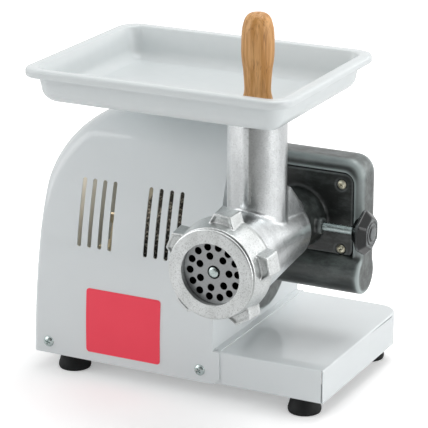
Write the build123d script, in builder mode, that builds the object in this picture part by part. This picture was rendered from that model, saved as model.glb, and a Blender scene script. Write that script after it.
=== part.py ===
# Electric meat grinder, No. 8 size: a white sheet-metal machine with a motor under a rounded hood,
# a black worm gearbox beside it, and a cast aluminium grinding head clamped to the gearbox.
# Millimetres, +Z up, +Y away from the user. The origin is on the table, under the middle of the machine.
import os
from math import asin, cos, degrees, radians, sin, tan

from build123d import *

os.makedirs("parts", exist_ok=True)

# Driving dimensions: the base, and how far the head and the knob stand out from it
base_length = 310
base_depth = 192
base_height = 33
foot_height = 18
sheet = 1.2
knob_reach = 20
nut_reach = 100
rear_reach = 4

# The base's left front bottom corner, from which the layout is measured
left_x = -(base_length + knob_reach) / 2
front_y = (nut_reach - base_depth - rear_reach) / 2
pan_z = foot_height
middle_y = front_y + base_depth / 2
rear_y = front_y + base_depth
deck_z = pan_z + base_height

# Hood: front and back lean in on a wide arc, the left wall leans and rounds over to the crown
hood_length = 197
hood_height = 246.5
hood_upright = 20
hood_wide_radius = 558
hood_brow_radius = 52
hood_left_lean = 1.8
hood_left_radius = 89
hood_edge_radius = 5
crown_crease = 6
tab_length = 7
tab_chamfer = 6

# Ventilation slots in the hood's front
slot_width = 4.4
slot_low = 112.8
slot_high = 178.4
slot_pitch = 11.1
slot_groups = (65.6, 137.6)
slots_in_group = 4

# Drive line: motor and worm along X, wheel, head and auger along Y
worm_y = front_y + 98
worm_z = pan_z + 98
head_x = left_x + 245
head_z = pan_z + 150
tube_y = front_y - 5
shaft_radius = 8
worm_radius = 13
gear_gap = 0.4
running = 0.05

# Gearbox casting, cover and clamping boss
box_left = left_x + 198
box_right = left_x + 311
box_front = front_y + 86
box_back = front_y + 118
box_top = pan_z + 212
recess_left = left_x + 208
recess_right = left_x + 301
recess_top = pan_z + 198.5
cover_bottom = pan_z + 114
cover_front = front_y + 88.5
cover_thickness = 4
cover_back = cover_front + cover_thickness
worm_tube_radius = 20
motor_flange_radius = 52
motor_flange_thickness = 10
boss_radius = 28.4
boss_front = front_y + 48
boss_bore = 22
boss_floor = front_y + 84
wheel_chamber_radius = 39.6
wheel_chamber_back = front_y + 110
wheel_width = 10
bore_radius = 14.5
screw_places = [(left_x + 288, pan_z + 186), (left_x + 288, pan_z + 122),
                (left_x + 213.5, pan_z + 186), (left_x + 213.5, pan_z + 122)]

# Grinding head
nut_face = front_y - nut_reach
nut_shoulder = nut_face + 11.7
plate_front = nut_face + 12
plate_thickness = 8
plate_radius = 31
plate_back = plate_front + plate_thickness
barrel_front = plate_front + 4
seat_gap = 0.1
barrel_back = boss_front - seat_gap
barrel_bore = 26
bore_back = front_y + 28
thread_radius = 37.6
tube_radius = 27.4
tube_bore = 23.6
tube_top = pan_z + 270.55
spigot_back = front_y + 80
journal_radius = 9
opening_radius = 28.2

# Feed tray and pusher
tray_left = left_x + 31
tray_right = left_x + 300
tray_front = front_y - 66
tray_back = front_y + 142
tray_floor = pan_z + 270.6
tray_rim = pan_z + 304.5
tray_wall = 2.5
pusher_top = pan_z + 366

# Motor under the hood
stator_radius = 56
stator_left = left_x + 92
stator_right = left_x + 160
rotor_radius = 27
air_gap = 0.6

head_axis = Axis((head_x, 0, head_z), (0, 1, 0))


def across(x):
    """A plane square to the worm shaft at x, with its origin on the shaft's axis."""
    return Plane(origin=(x, worm_y, worm_z), x_dir=(0, 1, 0), z_dir=(1, 0, 0))


def facing(y):
    """A plane square to the head's axis at y, origin on that axis, facing the user."""
    return Plane(origin=(head_x, y, head_z), x_dir=(1, 0, 0), z_dir=(0, -1, 0))


def fronting(y, x=0, z=0):
    """A plane at y that faces the user, with X to the right and Z up."""
    return Plane(origin=(x, y, z), x_dir=(1, 0, 0), z_dir=(0, -1, 0))


def siding(x, y, z):
    """A plane at x that faces the right side, with Y to the right and Z up."""
    return Plane(origin=(x, y, z), x_dir=(0, 1, 0), z_dir=(1, 0, 0))


head_section = siding(head_x, 0, head_z)


def finish(part, name):
    """Names a finished piece and writes it."""
    part.label = name
    export_step(part, f"parts/{name}.step")


# Base pan: one sheet folded down on four sides, with the right corners left open
foot_spacing_x = 249
foot_spacing_y = 152
foot_middle_x = left_x + 159.5
lip_width = 42
pan_gap = 1.4
pan_left = left_x + 2.6
hood_screw_height = 12
hood_screws_x = (left_x + 17.4, left_x + 183.3)
with BuildPart() as base_pan:
    with BuildSketch(Plane.XY.offset(pan_z)):
        with Locations(((pan_left + left_x + base_length) / 2, middle_y)):
            Rectangle(left_x + base_length - pan_left, base_depth - 2 * pan_gap)
    extrude(amount=base_height)
    fillet(base_pan.edges().filter_by(Axis.Z).group_by(Axis.X)[0], radius=6)
    fillet(base_pan.faces().sort_by(Axis.Z)[-1].edges(), radius=2.5)
    offset(amount=-sheet, openings=base_pan.faces().sort_by(Axis.Z)[0])
    with BuildSketch(Plane.XY.offset(pan_z)):
        for lip_y in (front_y + pan_gap + lip_width / 2, rear_y - pan_gap - lip_width / 2):
            with Locations(((pan_left + left_x + base_length) / 2, lip_y)):
                Rectangle(left_x + base_length - pan_left - 2 * sheet, lip_width - 2 * sheet)
    extrude(amount=sheet)
    with BuildSketch(Plane.XY.offset(pan_z)):
        with Locations((foot_middle_x, middle_y)):
            with GridLocations(foot_spacing_x, foot_spacing_y, 2, 2):
                Circle(3)
    extrude(amount=sheet, mode=Mode.SUBTRACT)
    with BuildSketch(Plane.XY.offset(pan_z)):
        for corner_y in (front_y + pan_gap, rear_y - pan_gap):
            with Locations((left_x + base_length, corner_y)):
                Rectangle(2 * sheet + 0.6, 2 * sheet + 0.6)
    extrude(amount=base_height - 4, mode=Mode.SUBTRACT)
    with BuildSketch(fronting(middle_y, 0, pan_z)):
        for screw_x in hood_screws_x:
            with Locations((screw_x, hood_screw_height)):
                Circle(2.2)
    extrude(amount=base_depth, both=True, mode=Mode.SUBTRACT)
finish(base_pan.part, "base_pan")


def hood_form(inset):
    """The hood's solid form, drawn in by a wall thickness; the inner one runs past the open sides."""
    half = base_depth / 2 - inset
    wide = hood_wide_radius - inset
    brow = hood_brow_radius - inset
    low = -1 if inset else 0
    length = hood_length + (1 if inset else 0)
    crease = radians(crown_crease)
    crown = hood_height - inset * cos(crease)
    brow_z = hood_height - hood_brow_radius * cos(crease)
    tilt = asin((brow_z - hood_upright) / (hood_wide_radius - hood_brow_radius))
    brow_y = -base_depth / 2 + hood_wide_radius - (hood_wide_radius - hood_brow_radius) * cos(tilt)
    lean = radians(hood_left_lean)
    left_round = hood_left_radius - inset
    round_z = hood_height - hood_left_radius * cos(crease)
    round_x = hood_left_radius / cos(lean) + round_z * tan(lean)
    with BuildPart() as form:
        with BuildSketch(siding(left_x, middle_y, pan_z)):
            with BuildLine():
                Line((0, low), (-half, low))
                Line((-half, low), (-half, hood_upright))
                CenterArc((-base_depth / 2 + hood_wide_radius, hood_upright), wide, 180, -degrees(tilt))
                shoulder = CenterArc((brow_y, brow_z), brow, 180 - degrees(tilt),
                                     degrees(tilt) + crown_crease - 90)
                Line(shoulder @ 1, (0, crown))
                mirror(about=Plane.YZ)
            make_face()
        extrude(amount=length)
        with BuildSketch(fronting(middle_y, left_x, pan_z)):
            with BuildLine():
                edge = CenterArc((round_x, round_z), left_round, 90 + crown_crease,
                                 90 - hood_left_lean - crown_crease)
                foot_x = (edge @ 1).X - ((edge @ 1).Y - low) * tan(lean)
                Line(edge @ 1, (foot_x, low))
                Line((foot_x, low), (length, low))
                Line((length, low), (length, crown))
                Line((length, crown), edge @ 0)
            make_face()
        extrude(amount=base_depth, both=True, mode=Mode.INTERSECT)
        corners = form.edges().filter_by(lambda e: e.center().X < left_x + hood_left_radius + 5)
        corners = corners.filter_by(lambda e: abs((e % 0.5).Y) < 0.9 and e.center().Z > pan_z + 1)
        fillet(corners, radius=hood_edge_radius - inset)
    return form.part


# Hood: drawn sheet cover over the motor, with a screw tab that laps onto the base
switch_x = left_x + 45
switch_height = 62
gland_x = left_x + 105
gland_height = 60


def rear_wall(x, height):
    """A plane on the hood's leaning back wall, facing out."""
    lean = asin((height - hood_upright) / hood_wide_radius)
    y = rear_y - hood_wide_radius * (1 - cos(lean))
    return Plane(origin=(x, y, pan_z + height), x_dir=(-1, 0, 0), z_dir=(0, cos(lean), sin(lean)))


switch_plane = rear_wall(switch_x, switch_height)
gland_plane = rear_wall(gland_x, gland_height)
with BuildPart() as hood:
    add(hood_form(0))
    add(hood_form(sheet), mode=Mode.SUBTRACT)
    for tab_y in (front_y + sheet, rear_y):
        with BuildSketch(fronting(tab_y, left_x + hood_length, pan_z)):
            with BuildLine():
                Polyline((0, 0), (tab_length - tab_chamfer, 0), (tab_length, tab_chamfer),
                         (tab_length, base_height), (0, base_height), close=True)
            make_face()
        extrude(amount=sheet)
    with BuildSketch(fronting(front_y, left_x, pan_z)):
        for group_x in slot_groups:
            with Locations((group_x, (slot_low + slot_high) / 2)):
                with GridLocations(slot_pitch, 1, slots_in_group, 1):
                    SlotOverall(slot_high - slot_low, slot_width, rotation=90)
        for screw_x in hood_screws_x:
            with Locations((screw_x - left_x, hood_screw_height)):
                Circle(2.2)
    extrude(amount=-base_depth / 4, both=False, mode=Mode.SUBTRACT)
    with BuildSketch(fronting(rear_y, left_x, pan_z)):
        for screw_x in hood_screws_x:
            with Locations((screw_x - left_x, hood_screw_height)):
                Circle(2.2)
    extrude(amount=base_depth / 4, both=True, mode=Mode.SUBTRACT)
    with BuildSketch(switch_plane):
        Rectangle(20, 26)
    extrude(amount=8, both=True, mode=Mode.SUBTRACT)
    with BuildSketch(gland_plane):
        Circle(7.5)
    extrude(amount=8, both=True, mode=Mode.SUBTRACT)
finish(hood.part, "hood")


# Right end plate: closes the hood, and its foot is flanged onto the deck
end_gap = 0.1
end_hole = 31
with BuildPart() as right_end_plate:
    add(hood_form(sheet + end_gap))
    with BuildSketch(siding(left_x + hood_length - sheet, middle_y, deck_z)):
        with Locations((0, hood_height / 2)):
            Rectangle(base_depth, hood_height)
    extrude(amount=sheet, mode=Mode.INTERSECT)
    with BuildSketch(Plane.XY.offset(deck_z)):
        with Locations((left_x + hood_length - sheet + (tab_length + sheet) / 2, middle_y)):
            Rectangle(tab_length + sheet, base_depth - 2 * pan_gap - 5)
    extrude(amount=sheet)
    with BuildSketch(across(left_x + hood_length - sheet)):
        Circle(end_hole)
    extrude(amount=sheet, mode=Mode.SUBTRACT)
finish(right_end_plate.part, "right_end_plate")

# Rubber feet: tapered buffers, wider on the table, each held by a screw up into the pan's lip
foot_radius = 16
with BuildPart() as rubber_feet:
    with Locations((foot_middle_x, middle_y, 0)):
        with GridLocations(foot_spacing_x, foot_spacing_y, 2, 2):
            Cone(foot_radius, foot_radius - 2.5, foot_height, align=(Align.CENTER, Align.CENTER, Align.MIN))
            Cylinder(6, foot_height - 6, align=(Align.CENTER, Align.CENTER, Align.MIN), mode=Mode.SUBTRACT)
            Cylinder(3, foot_height, align=(Align.CENTER, Align.CENTER, Align.MIN), mode=Mode.SUBTRACT)
finish(rubber_feet.part, "rubber_feet")

with BuildPart() as foot_screws:
    with Locations((foot_middle_x, middle_y, foot_height - 6)):
        with GridLocations(foot_spacing_x, foot_spacing_y, 2, 2):
            Cylinder(5.2, 3.5, align=(Align.CENTER, Align.CENTER, Align.MAX))
            Cylinder(2.9, 16, align=(Align.CENTER, Align.CENTER, Align.MIN))
finish(foot_screws.part, "foot_screws")

# Hood screws: flanged pan heads through the hood into the base's walls
hood_screw_head = 4.6
with BuildPart() as hood_screws:
    for wall_y, outward in ((front_y, -1), (rear_y, 1)):
        seat = Plane(origin=(0, wall_y, pan_z + hood_screw_height), x_dir=(1, 0, 0), z_dir=(0, outward, 0))
        with BuildSketch(seat):
            for screw_x in hood_screws_x:
                with Locations((screw_x, 0)):
                    Circle(hood_screw_head)
        extrude(amount=2.6, taper=18)
        with BuildSketch(seat):
            for screw_x in hood_screws_x:
                with Locations((screw_x, 0)):
                    Circle(2.1)
        extrude(amount=-8)
finish(hood_screws.part, "hood_screws")

# Gearbox housing: one black casting, a flat wheel case over a round worm tube, with the motor flange
corner_radius = 17
rim_round = 6
recess_corner = 10
output_seat = 13
with BuildPart() as gearbox_housing:
    with BuildSketch(fronting(box_back)) as case:
        with Locations(((box_left + box_right) / 2, (box_top + worm_z) / 2)):
            Rectangle(box_right - box_left, box_top - worm_z)
        fillet(case.vertices().group_by(Axis.Z)[-1], radius=corner_radius)
    extrude(amount=box_back - box_front)
    for side in (0, -1):
        case_edges = gearbox_housing.faces().sort_by(Axis.Y)[side].edges()
        fillet(case_edges.filter_by(lambda e: e.center().Z > worm_z + 1), radius=rim_round)
    with BuildSketch(fronting(box_front)) as recess:
        with Locations(((recess_left + recess_right) / 2, (recess_top + worm_z) / 2)):
            Rectangle(recess_right - recess_left, recess_top - worm_z)
        fillet(recess.vertices().group_by(Axis.Z)[-1], radius=recess_corner)
    extrude(amount=box_front - cover_back, mode=Mode.SUBTRACT)
    with BuildSketch(across(box_left)):
        Circle(worm_tube_radius)
    extrude(amount=box_right - box_left)
    with BuildSketch(across(left_x + hood_length)):
        Circle(motor_flange_radius)
    extrude(amount=motor_flange_thickness)
    with BuildSketch(facing(wheel_chamber_back)):
        Circle(wheel_chamber_radius)
    extrude(amount=wheel_chamber_back - cover_back, mode=Mode.SUBTRACT)
    with BuildSketch(facing(wheel_chamber_back + 6)):
        Circle(output_seat)
    extrude(amount=6, mode=Mode.SUBTRACT)
    with BuildSketch(across(left_x + hood_length)):
        Circle(bore_radius)
    extrude(amount=box_right - left_x - hood_length - 6, mode=Mode.SUBTRACT)
    with BuildSketch(fronting(cover_back)):
        for place in screw_places:
            with Locations(place):
                Circle(2.2)
    extrude(amount=-10, mode=Mode.SUBTRACT)
finish(gearbox_housing.part, "gearbox_housing")

# Gearbox cover: a plate let into the housing's rim, with the long boss that clamps the head's spigot
cover_gap = 0.6
stud_y = front_y + 68
stud_radius = 4
pad_radius = 8
pad_reach = 34
screw_head_radius = 4.5
with BuildPart() as gearbox_cover:
    with BuildSketch(fronting(cover_back)) as cover:
        with Locations(((recess_left + recess_right) / 2, (recess_top - cover_gap + cover_bottom) / 2)):
            Rectangle(recess_right - recess_left - 2 * cover_gap, recess_top - cover_gap - cover_bottom)
        fillet(cover.vertices().group_by(Axis.Z)[-1], radius=recess_corner - cover_gap)
    extrude(amount=cover_thickness)
    with BuildSketch(across(box_left)):
        Circle(worm_tube_radius + cover_gap)
    extrude(amount=box_right - box_left, mode=Mode.SUBTRACT)
    with BuildSketch(facing(cover_front)):
        Circle(boss_radius)
    extrude(amount=cover_front - boss_front)
    boss_foot = gearbox_cover.edges().filter_by(GeomType.CIRCLE).filter_by(
        lambda e: abs(e.radius - boss_radius) < 0.1 and abs(e.center().Y - cover_front) < 0.1)
    fillet(boss_foot, radius=3)
    with BuildSketch(siding(head_x, stud_y, head_z)):
        Circle(pad_radius)
    extrude(amount=pad_reach)
    with BuildSketch(facing(boss_floor)):
        Circle(boss_bore)
    extrude(amount=boss_floor - boss_front, mode=Mode.SUBTRACT)
    with BuildSketch(facing(cover_back)):
        Circle(12)
    extrude(amount=cover_back - boss_floor, mode=Mode.SUBTRACT)
    with BuildSketch(siding(head_x, stud_y, head_z)):
        Circle(stud_radius + running)
    extrude(amount=pad_reach, mode=Mode.SUBTRACT)
    with BuildSketch(fronting(cover_back)):
        for place in screw_places:
            with Locations(place):
                Circle(2.2)
    extrude(amount=cover_thickness, mode=Mode.SUBTRACT)
    with BuildSketch(fronting(cover_front)):
        for place in screw_places:
            with Locations(place):
                Circle(screw_head_radius + 1)
    extrude(amount=-1.5, mode=Mode.SUBTRACT)
finish(gearbox_cover.part, "gearbox_cover")

with BuildPart() as cover_screws:
    with BuildSketch(fronting(cover_front + 1.5)):
        for place in screw_places:
            with Locations(place):
                Circle(screw_head_radius)
    extrude(amount=2.8, taper=22)
    with BuildSketch(fronting(cover_front + 1.5)):
        for place in screw_places:
            with Locations(place):
                Circle(2.1)
    extrude(amount=-11)
finish(cover_screws.part, "cover_screws")

# Worm shaft: the motor's shaft runs on through the gearbox and carries the worm
worm_left = head_x - 21
worm_length = 42
shaft_left = left_x + 42
shaft_right = box_right - 8
with BuildPart() as worm_shaft:
    with BuildSketch(across(shaft_left)):
        Circle(shaft_radius)
    extrude(amount=shaft_right - shaft_left)
    with BuildSketch(across(worm_left)):
        Circle(worm_radius)
    extrude(amount=worm_length)
    worm_rims = worm_shaft.edges().filter_by(GeomType.CIRCLE)
    worm_ends = worm_rims.filter_by(lambda e: abs(e.radius - worm_radius) < 0.1)
    chamfer(worm_ends, length=2)
finish(worm_shaft.part, "worm_shaft")

bearing_width = 9
with BuildPart() as worm_bearings:
    for bearing_x in (left_x + hood_length + 4, shaft_right - bearing_width):
        with BuildSketch(across(bearing_x)):
            Circle(bore_radius)
            Circle(shaft_radius + running, mode=Mode.SUBTRACT)
        extrude(amount=bearing_width)
finish(worm_bearings.part, "worm_bearings")

# Worm wheel and output shaft: bronze wheel on the shaft that drives the auger through a square socket
wheel_radius = head_z - worm_z - worm_radius - gear_gap
wheel_teeth = 40
tooth_depth = 3.4
output_front = front_y + 61
socket_size = 12.2
socket_depth = 16
with BuildPart() as worm_wheel:
    with BuildSketch(facing(worm_y + wheel_width / 2)):
        Circle(wheel_radius)
        with PolarLocations(wheel_radius - tooth_depth / 2 + 0.1, wheel_teeth):
            Trapezoid(3.2, tooth_depth, 70, rotation=90, mode=Mode.SUBTRACT)
        Circle(journal_radius, mode=Mode.SUBTRACT)
        with PolarLocations(22, 6):
            Circle(6, mode=Mode.SUBTRACT)
    extrude(amount=wheel_width)
finish(worm_wheel.part, "worm_wheel")

with BuildPart() as output_shaft:
    with BuildSketch(facing(wheel_chamber_back + 5)):
        Circle(journal_radius)
    extrude(amount=wheel_chamber_back + 5 - boss_floor)
    with BuildSketch(facing(boss_floor - 0.4)):
        Circle(12.5)
    extrude(amount=boss_floor - 0.4 - output_front)
    with BuildSketch(facing(boss_floor)):
        Circle(journal_radius)
    extrude(amount=2)
    with BuildSketch(facing(output_front)):
        Rectangle(socket_size, socket_size)
    extrude(amount=-socket_depth, mode=Mode.SUBTRACT)
finish(output_shaft.part, "output_shaft")

with BuildPart() as output_bushes:
    with BuildSketch(facing(cover_back)):
        Circle(12)
        Circle(journal_radius + running, mode=Mode.SUBTRACT)
    extrude(amount=cover_back - boss_floor)
    with BuildSketch(facing(wheel_chamber_back + 6)):
        Circle(output_seat)
        Circle(journal_radius + running, mode=Mode.SUBTRACT)
    extrude(amount=6)
finish(output_bushes.part, "output_bushes")

# Clamp: a zinc-plated stud screwed through the boss onto the spigot, with a moulded hand knob
stud_tip = head_x + boss_bore + 0.5
knob_left = left_x + 308
knob_right = left_x + base_length + knob_reach
knob_radius = 20
knob_plane = siding(knob_left, stud_y, head_z)
with BuildPart() as clamp_stud:
    with BuildSketch(siding(stud_tip, stud_y, head_z)):
        Circle(stud_radius)
    extrude(amount=knob_left + 12 - stud_tip)
    chamfer(clamp_stud.edges().filter_by(GeomType.CIRCLE).sort_by(Axis.X)[0], length=1)
finish(clamp_stud.part, "clamp_stud")

knob_thickness = knob_right - knob_left - 2
with BuildPart() as clamp_knob:
    with BuildSketch(knob_plane) as grip:
        RegularPolygon(knob_radius, 6, major_radius=True, rotation=15)
        fillet(grip.vertices(), radius=4)
    extrude(amount=knob_thickness)
    chamfer(clamp_knob.faces().sort_by(Axis.X)[0].edges(), length=3)
    chamfer(clamp_knob.faces().sort_by(Axis.X)[-1].edges(), length=2)
    with BuildSketch(knob_plane.offset(knob_thickness)):
        Circle(12.5)
    extrude(amount=1)
    with BuildSketch(knob_plane.offset(knob_thickness)):
        Circle(9.5)
    extrude(amount=2, taper=20)
    with BuildSketch(knob_plane):
        Circle(stud_radius)
    extrude(amount=12, mode=Mode.SUBTRACT)
finish(clamp_knob.part, "clamp_knob")

# Head casting: barrel, feed tube and rear spigot in one aluminium casting, with a fairing behind the tube
ridge_width = 2.4
ridge_height = 0.9
with BuildPart() as head_casting:
    with BuildSketch(head_section):
        with BuildLine():
            Polyline((barrel_front, 0), (barrel_front, thread_radius), (nut_face + 35, thread_radius),
                     (nut_face + 35, 41), (nut_face + 46, 40))
            Spline((nut_face + 46, 40), (front_y - 5, 36), (barrel_back - 8, 32),
                   tangents=((1, -0.05), (1, -0.1)))
            Polyline((barrel_back - 8, 32), (barrel_back, 32), (barrel_back, 0), (barrel_front, 0))
        make_face()
    revolve(axis=head_axis)
    with BuildSketch(Plane.XY.offset(head_z)):
        with Locations((head_x, tube_y)):
            Circle(tube_radius)
    extrude(amount=tube_top - head_z)
    with BuildSketch(siding(head_x, 0, head_z)):
        with BuildLine():
            Polyline((tube_y, 0), (tube_y, 58), (tube_y + 22, 52),
                     (barrel_back - 2, 26), (barrel_back - 2, 0), close=True)
        make_face()
    extrude(amount=25, both=True)
    with BuildSketch(facing(spigot_back)):
        Circle(boss_bore - running)
    extrude(amount=spigot_back - barrel_back)
    with BuildSketch(Plane.XY.offset(pan_z + 195)):
        with Locations((head_x, tube_y - tube_radius)):
            Rectangle(ridge_width, 2 * ridge_height)
    extrude(amount=tube_top - pan_z - 195)
    with BuildSketch(facing(bore_back)):
        Circle(barrel_bore)
    extrude(amount=bore_back - barrel_front, mode=Mode.SUBTRACT)
    with BuildSketch(facing(plate_back)):
        Circle(plate_radius)
    extrude(amount=plate_thickness, mode=Mode.SUBTRACT)
    with BuildSketch(Plane.XY.offset(head_z)):
        with Locations((head_x, tube_y)):
            Circle(tube_bore)
    extrude(amount=tube_top - head_z, mode=Mode.SUBTRACT)
    with BuildSketch(facing(barrel_back)):
        Circle(13)
    extrude(amount=barrel_back - bore_back, mode=Mode.SUBTRACT)
    with BuildSketch(facing(spigot_back)):
        Circle(15)
    extrude(amount=spigot_back - barrel_back, mode=Mode.SUBTRACT)
finish(head_casting.part, "head_casting")

with BuildPart() as barrel_bush:
    with BuildSketch(facing(barrel_back)):
        Circle(13)
        Circle(journal_radius + running, mode=Mode.SUBTRACT)
    extrude(amount=barrel_back - bore_back)
finish(barrel_bush.part, "barrel_bush")

# Perforated plate: hardened disc with two rings of holes round the auger's pin
pin_radius = 4.9
hole_radius = 3.1
inner_ring = 15
inner_holes = 7
outer_ring = 23.5
outer_holes = 14
first_hole = 105
with BuildPart() as perforated_plate:
    with BuildSketch(facing(plate_back)):
        Circle(plate_radius - running)
        Circle(pin_radius + running, mode=Mode.SUBTRACT)
        with PolarLocations(inner_ring, inner_holes, start_angle=first_hole):
            Circle(hole_radius, mode=Mode.SUBTRACT)
        with PolarLocations(outer_ring, outer_holes, start_angle=first_hole):
            Circle(hole_radius, mode=Mode.SUBTRACT)
    extrude(amount=plate_thickness)
finish(perforated_plate.part, "perforated_plate")

# Auger: a cast screw on a shaft, with a pin in front, a square for the knife and a square tail for the drive
flight_radius = 25
flight_thickness = 4.5
flight_pitch = 30
core_radius = 11
core_back = bore_back - 0.3
knife_square = 10.5
knife_thickness = 9
knife_front = plate_back + 0.2
flight_front = knife_front + knife_thickness + 4
flight_back = bore_back - 4
tail_square = 11.5
tail_back = output_front + socket_depth - 1.5
with BuildPart() as auger:
    with BuildSketch(facing(core_back)):
        Circle(core_radius)
    extrude(amount=core_back - knife_front - knife_thickness)
    with BuildSketch(facing(knife_front + knife_thickness)):
        Rectangle(knife_square, knife_square)
    extrude(amount=knife_thickness)
    with BuildSketch(facing(knife_front)):
        Circle(pin_radius)
    extrude(amount=knife_front - plate_front + 4)
    fillet(auger.edges().filter_by(GeomType.CIRCLE).sort_by(Axis.Y)[0], radius=2)
    with BuildSketch(facing(barrel_back + 1)):
        Circle(journal_radius)
    extrude(amount=barrel_back + 1 - core_back)
    with BuildSketch(facing(tail_back)):
        Rectangle(tail_square, tail_square)
    extrude(amount=tail_back - barrel_back - 1)
    with BuildLine() as flight_path:
        Helix(flight_pitch, flight_back - flight_front, (core_radius + flight_radius) / 2 - 0.5,
              center=(head_x, flight_front, head_z), direction=(0, 1, 0))
    start = flight_path.line @ 0
    outward = (start - Vector(head_x, flight_front, head_z)).normalized()
    with BuildSketch(Plane(origin=start, x_dir=outward, z_dir=flight_path.line % 0)):
        Rectangle(flight_radius - core_radius + 1, flight_thickness)
    sweep(path=flight_path.line, is_frenet=True)
finish(auger.part, "auger")

# Knife: four-armed cutter on the auger's square, its edges against the plate
with BuildPart() as cutting_knife:
    with BuildSketch(facing(knife_front + knife_thickness)):
        Circle(10)
        with PolarLocations(0, 4):
            with Locations((12.3, 0)):
                Trapezoid(9, 24, 82, rotation=-90)
        Rectangle(knife_square + 0.1, knife_square + 0.1, mode=Mode.SUBTRACT)
    extrude(amount=knife_thickness)
finish(cutting_knife.part, "cutting_knife")

# Ring nut: cast ring with five lugs that screws onto the barrel and holds the plate
nut_back = nut_face + 34
nut_thread = thread_radius + 0.4
lug_count = 5
lug_first = 12
with BuildPart() as ring_nut:
    with BuildSketch(head_section):
        with BuildLine():
            Polyline((nut_face, opening_radius), (nut_face, 40.8), (nut_face + 1.2, 42), (nut_face + 10, 43),
                     (nut_face + 28, 46), (nut_back, 45), (nut_back, nut_thread), (nut_shoulder, nut_thread),
                     (nut_shoulder, opening_radius + 1.5), (nut_face + 1.5, opening_radius + 1.5),
                     (nut_face, opening_radius), close=False)
        make_face()
    revolve(axis=head_axis)
    with BuildSketch(facing(nut_face + 32)):
        with PolarLocations(48, lug_count, start_angle=lug_first):
            Trapezoid(29, 13, 68, rotation=-90)
    extrude(amount=19, taper=4)
finish(ring_nut.part, "ring_nut")

# Feed tray: moulded white pan with a rolled rim, and a collar that plugs into the feed tube
pan_inset = 15.3
rim_height = 7.5
tray_depth = tray_rim - tray_floor
tray_x = (tray_left + tray_right) / 2
tray_y = (tray_front + tray_back) / 2
tray_size_x = tray_right - tray_left
tray_size_y = tray_back - tray_front
wall_slope = 11
rim_corner = 30
collar_radius = 23.2
throat_radius = 20.4
with BuildPart() as tray_hollow:
    with BuildSketch(Plane.XY.offset(tray_floor + tray_wall)):
        with Locations((tray_x, tray_y)):
            RectangleRounded(tray_size_x - 2 * pan_inset - 4, tray_size_y - 2 * pan_inset - 4, rim_corner - 12)
    extrude(amount=tray_depth, taper=-wall_slope)
    fillet(tray_hollow.faces().sort_by(Axis.Z)[0].edges(), radius=9)
with BuildPart() as feed_tray:
    with BuildSketch(Plane.XY.offset(tray_floor)):
        with Locations((tray_x, tray_y)):
            RectangleRounded(tray_size_x - 2 * pan_inset, tray_size_y - 2 * pan_inset, rim_corner - 10)
    extrude(amount=tray_depth - 1, taper=-wall_slope)
    fillet(feed_tray.faces().sort_by(Axis.Z)[0].edges(), radius=11)
    with BuildSketch(Plane.XY.offset(tray_rim - rim_height)):
        with Locations((tray_x, tray_y)):
            RectangleRounded(tray_size_x, tray_size_y, rim_corner)
    extrude(amount=rim_height)
    fillet(feed_tray.faces().sort_by(Axis.Z)[-1].outer_wire().edges(), radius=3)
    add(tray_hollow.part, mode=Mode.SUBTRACT)
    with BuildSketch(Plane.XY.offset(tray_floor + 1)):
        with Locations((head_x, tube_y)):
            Circle(collar_radius)
    extrude(amount=-24)
    with BuildSketch(Plane.XY.offset(tray_floor - 30)):
        with Locations((head_x, tube_y)):
            Circle(throat_radius)
    extrude(amount=50, mode=Mode.SUBTRACT)
finish(feed_tray.part, "feed_tray")

# Pusher: turned hardwood, a grip above the tray and a plunger in the feed tube
plunger_radius = 19.4
plunger_bottom = head_z + flight_radius + 3
with BuildPart() as wooden_pusher:
    with BuildSketch(Plane(origin=(head_x, tube_y, 0), x_dir=(1, 0, 0), z_dir=(0, -1, 0))):
        with BuildLine():
            grip_line = Spline((7, pusher_top), (12.2, pusher_top - 6), (14, pusher_top - 20),
                               (12.6, pusher_top - 45), (11.7, pusher_top - 67), (13.4, pusher_top - 79),
                               tangents=((1, 0), (0.5, -1)))
            Polyline(grip_line @ 1, (plunger_radius, pusher_top - 94), (plunger_radius, plunger_bottom + 3),
                     (plunger_radius - 3, plunger_bottom), (0, plunger_bottom), (0, pusher_top), (7, pusher_top))
        make_face()
    revolve(axis=Axis((head_x, tube_y, 0), (0, 0, 1)))
finish(wooden_pusher.part, "wooden_pusher")

# Motor: laminated stator with copper end turns between two cast shields, drawn together by four bolts
winding_length = 17
winding_inner = 33
winding_outer = 48
shield_wall = 4
front_shield_end = left_x + hood_length - sheet
rear_shield_left = left_x + 68
hub_radius = 19
seat_radius = 14
bolt_circle = 52.3
with BuildPart() as stator_core:
    with BuildSketch(across(stator_left)):
        Circle(stator_radius)
        Circle(rotor_radius + air_gap, mode=Mode.SUBTRACT)
        with PolarLocations(bolt_circle, 4, start_angle=45):
            Circle(2.2, mode=Mode.SUBTRACT)
    extrude(amount=stator_right - stator_left)
finish(stator_core.part, "stator_core")

with BuildPart() as stator_windings:
    for end_x in (stator_left - winding_length, stator_right):
        with BuildSketch(across(end_x)):
            Circle(winding_outer)
            Circle(winding_inner, mode=Mode.SUBTRACT)
        extrude(amount=winding_length)
    rims = stator_windings.edges().filter_by(GeomType.CIRCLE)
    free_ends = rims.filter_by(lambda e: abs(e.center().X - stator_left + winding_length) < 0.1
                               or abs(e.center().X - stator_right - winding_length) < 0.1)
    fillet(free_ends, radius=5)
finish(stator_windings.part, "stator_windings")


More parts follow.
